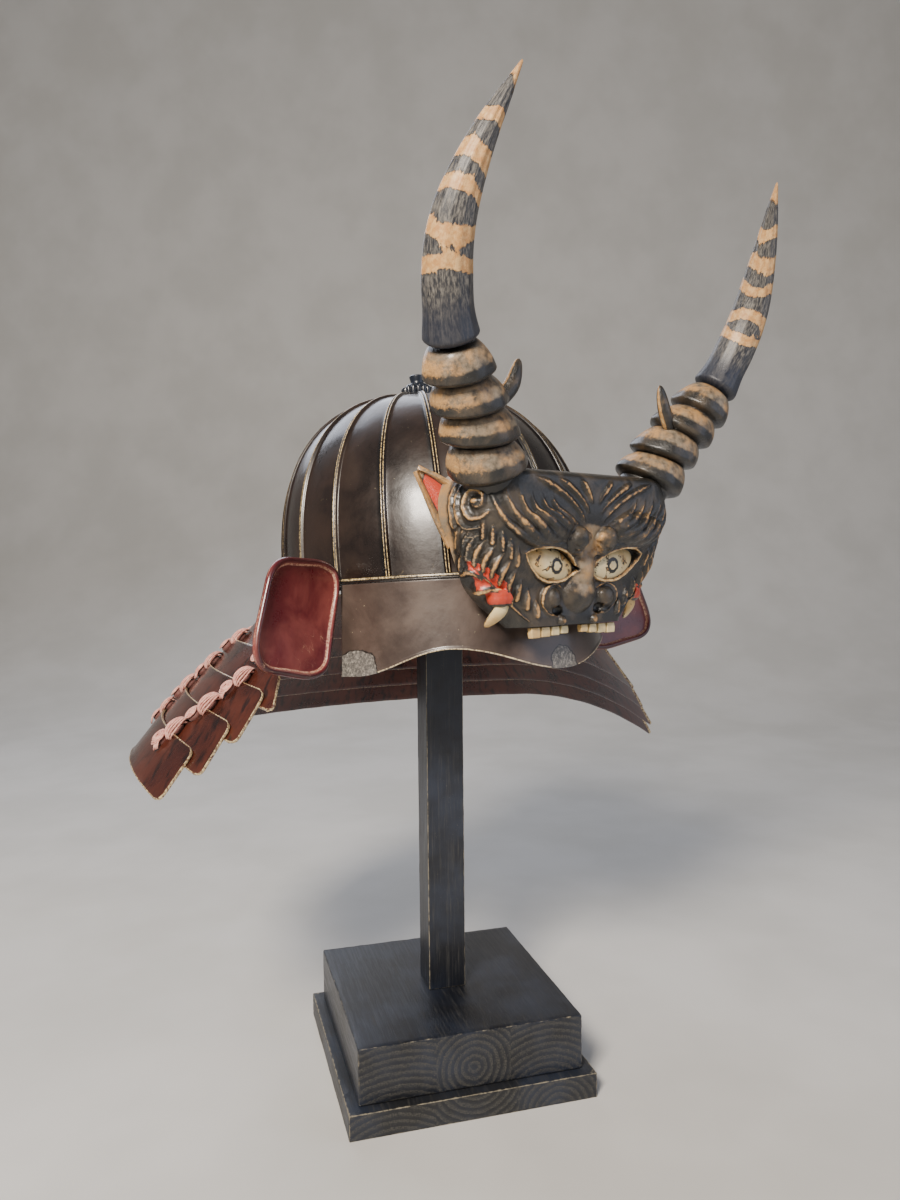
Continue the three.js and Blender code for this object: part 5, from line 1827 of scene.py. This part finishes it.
@dataclass
class Horns:
    """The two horns: a ringed root and a long smooth upper part, with a small nub on each root."""

    path: tuple[tuple[float, float, float], ...] = (
        # root, middle of the ringed part, its end, then the bow and the tip
        (72, -144, 52), (97, -158, 91), (128, -175, 129), (145, -195, 176), (141, -214, 217),
        (125, -238, 263))
    steps: int = 3
    radii: tuple[float, float, float, float] = (23.0, 17.5, 14.8, 0.6)  # root, end of root, upper foot, tip
    split: int = 6
    rings: int = 4
    bands: tuple[tuple[float, float], ...] = ((44, 5), (60, 6), (82, 5), (100, 7), (121, 5), (150, 11))

    def line(self) -> Array:
        """Centre and radius of the horn at each row, from the root to the tip.

        Returns:
            rows of x, y, z and radius.
        """
        last = (len(self.path) - 1) * self.steps
        row = np.arange(last + 1)
        centre = flowing(np.arange(len(self.path)) * self.steps, np.array(self.path, float), row)
        root, root_end, foot, tip = self.radii
        low = root + (root_end - root) * (row / self.split) ** 1.6
        high = foot + (tip - foot) * np.clip((row - self.split) / (last - self.split), 0, 1) ** 2.3
        return np.column_stack([centre, np.where(row <= self.split, low, high)])

    def swept(self, centre: Array, radius: Array, angle: Array, along: Array, lean: Array) -> Array:
        """Points round the horn's centre line.

        Args:
            centre: points of the centre line.
            radius: its radius at each point.
            angle: radians round the line.
            along: directions of the line.
            lean: how far the rings lean.

        Returns:
            the points.
        """
        side = unit(np.cross(np.broadcast_to([0.0, 1.0, 0.0], along.shape), along))
        over = np.cross(along, side)
        reach = radius * np.cos(angle)
        return (centre + side * reach[..., None] + over * (radius * np.sin(angle))[..., None]
                + along * (lean * reach)[..., None])

    def part(self, name: str, ringed: bool) -> Piece:
        """The ringed root or the smooth upper part of the left horn.

        Args:
            name: the new name.
            ringed: root, or upper part.

        Returns:
            the closed mesh.
        """
        table = self.line()
        knots = run_length(table[:, :3])
        start, stop = (0.0, knots[self.split]) if ringed else (knots[self.split], knots[-1])

        def shape(u: Array, v: Array) -> Laid:
            """Rings round the centre line."""
            at = start + (stop - start) * v
            values = flowing(knots, table, at)
            ahead = flowing(knots, table, np.minimum(at + 1, knots[-1]))
            behind = flowing(knots, table, np.maximum(at - 1, 0))
            tangent = unit(ahead[..., :3] - behind[..., :3])
            angle = u * 2 * math.pi
            radius = values[..., 3]
            gone = at - start
            if ringed:
                phase = np.clip(v * (self.rings + 0.5) - 0.5, 0, self.rings - 1e-6)
                f = phase % 1
                lip = np.where(f < 0.22, np.sin(f / 0.22 * math.pi / 2),
                               np.cos((f - 0.22) / 0.78 * math.pi / 2))
                radius = radius - 4.2 + 7.0 * np.maximum(lip, 0) ** 0.7
                radius = radius + 0.35 * np.sin(7 * angle + 3 * phase) * lip
                rubbed = 0.75 * smooth_step(0.25, 0.5, f) * smooth_step(0.98, 0.7, f)
                # painted shade in the valleys and under each bulge; the rubbed colour and tan on each ring's
                # upper face are partly real rubbing, partly painted light
                numbers = {"worn": rubbed * (0.6 + 0.4 * np.sin(angle)),
                           "shade": np.maximum(smooth_step(0.9, 1.0, f), smooth_step(0.14, 0.0, f)),
                           "tan": 0.6 * smooth_step(0.3, 0.55, f), "red": 0 * u}
                lean = math.tan(math.radians(16)) * np.minimum(1, 3 * v) * np.minimum(1, 4 * (1 - v))
            else:
                blunt = np.clip(gone / 6, 0, 1)
                radius = radius * np.sqrt(1 - (1 - blunt) ** 2 * 0.9) * np.where(v > 0.999, 0.05, 1)
                facets = 0.25 * np.sin(11 * angle + gone * 0.06)
                radius = radius + facets * smooth_step(0, 10, gone) * (v < 0.9)
                band = sum(np.exp(-((gone - place + 2 * np.sin(2 * angle + place)) / size) ** 2)
                           for place, size in self.bands)
                numbers = {"along": gone, "around": abs(2 * u - 1), "band": np.clip(band, 0, 1)}
                lean = 0 * v
            points = self.swept(values[..., :3], np.maximum(radius, 0.1), angle, tangent, lean)
            return POSE.place(points), numbers

        piece = shaped_grid(name, 72, 150, shape)
        self.cap(piece)
        return piece

    def cap(self, piece: Piece) -> None:
        """Welds the seam of a tube and fills its two ends.

        Args:
            piece: the mesh.
        """
        mend(piece, 0.02)
        open_mesh(piece)
        bpy.ops.mesh.fill_holes(sides=0)
        bpy.ops.mesh.normals_make_consistent(inside=False)
        bpy.ops.object.mode_set(mode="OBJECT")
        smooth_shade(piece, 60)

    def spike(self, name: str, path: Sequence[Sequence[float]], width: float, depth: float) -> Piece:
        """A leaf-shaped spike through three points, used for the nubs and the fangs.

        Args:
            name: the new name.
            path: its three points.
            width: half its width.
            depth: half its thickness.

        Returns:
            the closed mesh.
        """
        knots = np.array([0.0, 0.5, 1.0])

        def shape(u: Array, v: Array) -> Laid:
            """A leaf-shaped section along the path."""
            centre = flowing(knots, np.array(path, float), v)
            tangent = unit(np.broadcast_to(np.array(path[2], float) - np.array(path[0]), centre.shape))
            side = unit(np.cross(tangent, np.broadcast_to([0.0, 1.0, 0.0], tangent.shape)))
            over = np.cross(tangent, side)
            size = (0.8 + 0.7 * v) * np.sqrt(np.clip(1 - v, 0, 1)) + 0.02
            a = 2 * math.pi * u
            points = (centre + side * (width * size * np.cos(a))[..., None]
                      + over * (depth * size * np.sin(a))[..., None])
            edge = smooth_step(0.86, 1.0, abs(np.cos(a)))
            # painted shade at the root of each nub and fang
            return POSE.place(points), {"worn": 0.7 * edge, "shade": 0.5 * smooth_step(0.2, 0, v),
                                        "tan": 0.3 + 0 * u, "red": 0 * u,
                                        "ring": 0.75 * edge * smooth_step(0.3, 1, v)}

        piece = shaped_grid(name, 28, 24, shape)
        self.cap(piece)
        return piece

    def build(self, carved: Finish, horn: Finish, ivory: Finish) -> None:
        """Makes the left pieces, mirrors them and dresses both sides.

        Args:
            carved: finish of the roots and nubs.
            horn: finish of the upper parts.
            ivory: the teeth's and fangs' finish.
        """
        pairs = (
            (self.part("horn_root_left", True), carved, "carved_lacquer"),
            (self.part("horn_left", False), horn, "horn_lacquer"),
            (self.spike("horn_nub_left", ((86, -166, 101), (76, -169.5, 113), (70, -171, 129)), 6.5, 5.0),
             carved, "carved_lacquer"),
            (self.spike("fang_left", ((62, -139, -17), (66, -138, -26), (70.5, -128, -35.5)), 6.0, 3.4),
             ivory, "ivory"))
        for left, finish, slot in pairs:
            right = mirrored_copy(left, base_name(left).replace("left", "right"))
            smooth_shade(right, 60)
            for piece in (left, right):
                dress(piece, finish, slot, base_name(piece))


@dataclass
class Face:
    """The eyes, ears and teeth of the beast."""

    eye: tuple[float, float, float] = (32.0, -147.0, 4.5)
    eye_size: tuple[float, float, float] = (25.5, 8.6, 12.0)
    eye_turn: float = -12.0
    ear: tuple[tuple[float, float, float], ...] = (  # the two ends of its root, and its tip
        (84, -113, 17), (80, -126, 50), (98, -100, 70))
    teeth: tuple[tuple[float, float, float], ...] = (  # place from the middle, width, drop
        (10, 7.0, 5.2), (19, 7.6, 6.0), (28.5, 8.4, 6.6), (38, 8.6, 7.0))

    def build_eye(self, paint: Finish) -> None:
        """Almond eyes with a painted ring for the pupil.

        Args:
            paint: the eyes' finish.
        """
        bpy.ops.mesh.primitive_uv_sphere_add(segments=72, ring_count=44, radius=1, location=(0, 0, 0))
        left = bpy.context.object
        left.name = left.data.name = "eye_left"
        ball = vertex_array(left) * np.array(self.eye_size)
        gap = np.linalg.norm(ball[:, [0, 2]] - np.array([-4.0, -1.5]), axis=1)
        a = math.radians(self.eye_turn)
        turn = np.array([[math.cos(a), 0, math.sin(a)], [0, 1, 0], [-math.sin(a), 0, math.cos(a)]])
        set_vertices(left, POSE.place(ball @ turn.T + np.array(self.eye)) * MM)
        paint_points(left, "ring", np.exp(-((gap - 4.3) / 1.5) ** 2))
        rim = np.linalg.norm(ball[:, [0, 2]] / np.array([self.eye_size[0], self.eye_size[2]]), axis=1)
        # painted shade round the rim, where the socket shades the eye
        paint_points(left, "shade", smooth_step(0.75, 1.0, rim))
        right = mirrored_copy(left, "eye_right")
        for piece in (left, right):
            smooth_shade(piece, 80)
            dress(piece, paint, "eye_paint", base_name(piece))

    def build_ear(self, finish: Finish) -> None:
        """Leaf ears with a thick rolled edge round a vermilion hollow.

        Args:
            finish: the carved finish.
        """
        low, high, tip = (np.array(p, float) for p in self.ear)
        out = unit(np.cross(high - low, tip - low))
        out = -out if out[1] > 0 else out

        def shape(u: Array, v: Array) -> Laid:
            """The leaf, with its rolled edge."""
            root = low + (high - low) * v[..., None]
            points = root + (tip - root) * (u * 0.97)[..., None]
            rim = np.minimum(v, 1 - v) * 2
            bow = 4 * v * (1 - v) * 6 * (1 - u * 0.8) - 1.6 * smooth_step(0.3, 0.1, rim)
            belly = np.sin(math.pi * u) * 4 * (v - 0.5)
            points = points - out * bow[..., None] + unit(high - low) * belly[..., None]
            hollow = smooth_step(0.3, 0.42, rim) * smooth_step(0.92, 0.8, u)
            # painted shade in the crease between the rolled edge and the vermilion hollow
            return POSE.place(points), {"worn": 0.5 * (1 - hollow), "tan": 0.6 * (1 - hollow), "red": hollow,
                                        "shade": smooth_step(0.24, 0.3, rim) * smooth_step(0.42, 0.36, rim)}

        left = shaped_grid("ear_left", 40, 44, shape)
        thick_sheet(left, 3.0, (90, 0, 400), 0.8)
        right = mirrored_copy(left, "ear_right")
        for piece in (left, right):
            smooth_shade(piece, 50)
            dress(piece, finish, "carved_lacquer", base_name(piece))

    def build_teeth(self, ivory: Finish) -> None:
        """A short row of rounded blocks under each side of the lip.

        Args:
            ivory: the teeth's and fangs' finish.
        """
        blocks = []
        for x, width, drop in self.teeth:
            bpy.ops.mesh.primitive_cube_add(size=1, location=(0, 0, 0))
            block = bpy.context.object
            apply_modifier(block, "SUBSURF", levels=3, render_levels=3, subdivision_type="SIMPLE")
            points = vertex_array(block)
            taper = 1 - 0.18 * abs(points[:, [2]]) * np.array([1, 1, 0])
            points = points * np.array([width, 4.2, drop]) * taper
            bend = max(0.0, x - 38) / 15
            set_vertices(block, POSE.place(points + np.array([x, -140.6 + 6 * bend, -37.6 - drop / 2])) * MM)
            round_edges(block, 0.9)
            blocks.append(block)
        left = join(blocks, "teeth_left")
        right = mirrored_copy(left, "teeth_right")
        for piece in (left, right):
            smooth_shade(piece, 50)
            dress(piece, ivory, "ivory", base_name(piece))


# ---------- stage ----------
@dataclass(frozen=True)
class Studio:
    """Pale floor, soft lights and the camera."""

    eye: tuple[float, float, float] = (-0.4826, -0.5759, 0.4208)
    yaw: float = 40.67
    pitch: float = 3.58
    lens: float = 28.22

    def floor(self) -> None:
        """A pale floor and backdrop with a soft sweep between."""
        deselect()
        bpy.ops.mesh.primitive_grid_add(x_subdivisions=2, y_subdivisions=60, size=2)
        piece = bpy.context.object
        piece.name = piece.data.name = "floor"
        flat = vertex_array(piece)
        along = (flat[:, 1] + 1) / 2 * 9 - 2.2
        curve = np.clip((along - 1.3) / 1.2, 0, None)
        away = np.where(along < 1.3, along, 1.3 + 1.0 * np.sin(np.minimum(curve, math.pi / 2)))
        wall = 1.0 - np.cos(np.minimum(curve, math.pi / 2)) + np.maximum(curve - math.pi / 2, 0) * 1.2
        up = np.where(along < 1.3, 0, wall)
        a = math.radians(self.yaw)
        forward, right = np.array([math.sin(a), math.cos(a)]), np.array([math.cos(a), -math.sin(a)])
        ground = away[:, None] * forward + flat[:, [0]] * 4 * right
        set_vertices(piece, np.column_stack([ground, up]))
        s = Surface("pale floor", IOR=1.45)
        colour = s.add("Mix", {
            0: s.add("MapRange", [s.add("TexNoise", cloudy(180, 3)), 0.3, 0.7], **EASED), 6: "#c9c7c2",
            7: "#d3d1cd"}, **TINTS)
        roughness = s.add("MapRange", [s.add("TexNoise", cloudy(60, 3)), 0.3, 0.7, 0.6, 0.75], **EASED)
        piece.data.materials.append(
            s.done(colour, roughness,
                s.add("Bump", {"Height": s.add("TexNoise", cloudy(2)), "Distance": 0.05 * MM})))
        smooth_shade(piece, 60)

    def light(self, name: str, place: Sequence[float], power: float, size: float, tint: str) -> None:
        """One square area light aimed at the helmet.

        Args:
            name: the new name.
            place: where, in metres.
            power: watts.
            size: its side in metres.
            tint: hex colour.
        """
        bpy.ops.object.light_add(type="AREA", location=place)
        lamp = bpy.context.object
        lamp.name, lamp.data.size, lamp.data.energy = name, size, power
        lamp.data.color = linear(tint)[:3]
        aim = Vector((0, -0.05, 0.38)) - Vector(place)
        lamp.rotation_euler = aim.to_track_quat("-Z", "Y").to_euler()

    def build(self) -> None:
        """Sets the floor, the lights, the world and the camera."""
        self.floor()
        self.light("key", (-1.25, -0.75, 1.35), 58, 0.4, "#fff4e6")
        self.light("fill", (0.9, -1.5, 0.8), 9, 1.4, "#dfe8ff")
        self.light("back", (0.3, 1.3, 1.5), 16, 1.2, "#eaf0ff")
        world = bpy.data.worlds.new("studio")
        world.use_nodes = True
        world.node_tree.nodes["Background"].inputs[0].default_value = linear("#b9bcc2")
        world.node_tree.nodes["Background"].inputs[1].default_value = 0.34
        bpy.context.scene.world = world
        camera = bpy.data.cameras.new("camera")
        camera.lens, camera.sensor_width, camera.sensor_fit = self.lens, 36.0, "AUTO"
        a, p = math.radians(self.yaw), math.radians(self.pitch)
        forward = Vector((math.sin(a) * math.cos(p), math.cos(a) * math.cos(p), -math.sin(p)))
        right = Vector((math.cos(a), -math.sin(a), -0.0097)).normalized()
        up = right.cross(forward).normalized()
        holder = bpy.data.objects.new("camera", camera)
        bpy.context.scene.collection.objects.link(holder)
        turn = Matrix((right, up, -forward)).transposed()
        holder.matrix_world = Matrix.Translation(Vector(self.eye)) @ turn.to_4x4()
        bpy.context.scene.camera = holder


def main() -> None:
    """Builds the helmet, its crest and the stand in order."""
    black = Lacquer("bowl lacquer", "#1a1310", "#2b1f18", "#d9c08c", roughness=0.3, specks=0.5).material()
    blue = Lacquer("blue-black lacquer", "#141923", "#202836", "#9a9b96", roughness=0.34,
                   worn_share=0.7).material()
    visor_coat = Lacquer("visor lacquer", "#3a2f2a", "#55473f", "#d8c6a0", roughness=0.36, chips=True,
                         specks=0.9).material()
    red = Lacquer("red lacquer", "#571820", "#7f3d38", "#c9a184", "#1c0d10", roughness=0.32, cloud_size=34,
                  scratches=0.7, worn_share=0.85).material()
    lame = Lacquer("lame lacquer", "#381a13", "#4f2519", "#d3bf93", "#120c0b", roughness=0.28,
                   streaks=0.8).material()
    carved = CarvedLacquer().material()
    ivory = ChippedPaint("ivory paint", flake=0.68).material()
    eye = ChippedPaint("eye paint", cream="#e2d3a6", flake=0.56).material()
    Stand().build()
    bowl = Bowl()
    bowl.build(black, blue)
    Visor(bowl).build(visor_coat)
    SidePlates().build(red)
    NeckGuard(bowl).build(lame, SilkBraid().material())
    CrestHead().build(carved)
    Horns().build(carved, HornLacquer().material(), ivory)
    face = Face()
    face.build_eye(eye)
    face.build_ear(carved)
    face.build_teeth(ivory)
    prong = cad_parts["crest_prong"]
    prong.data.materials.clear()
    prong.data.materials.append(black)
    Studio().build()


if __name__ == "__main__":
    logging.basicConfig(level=logging.INFO, format="%(message)s")
    main()
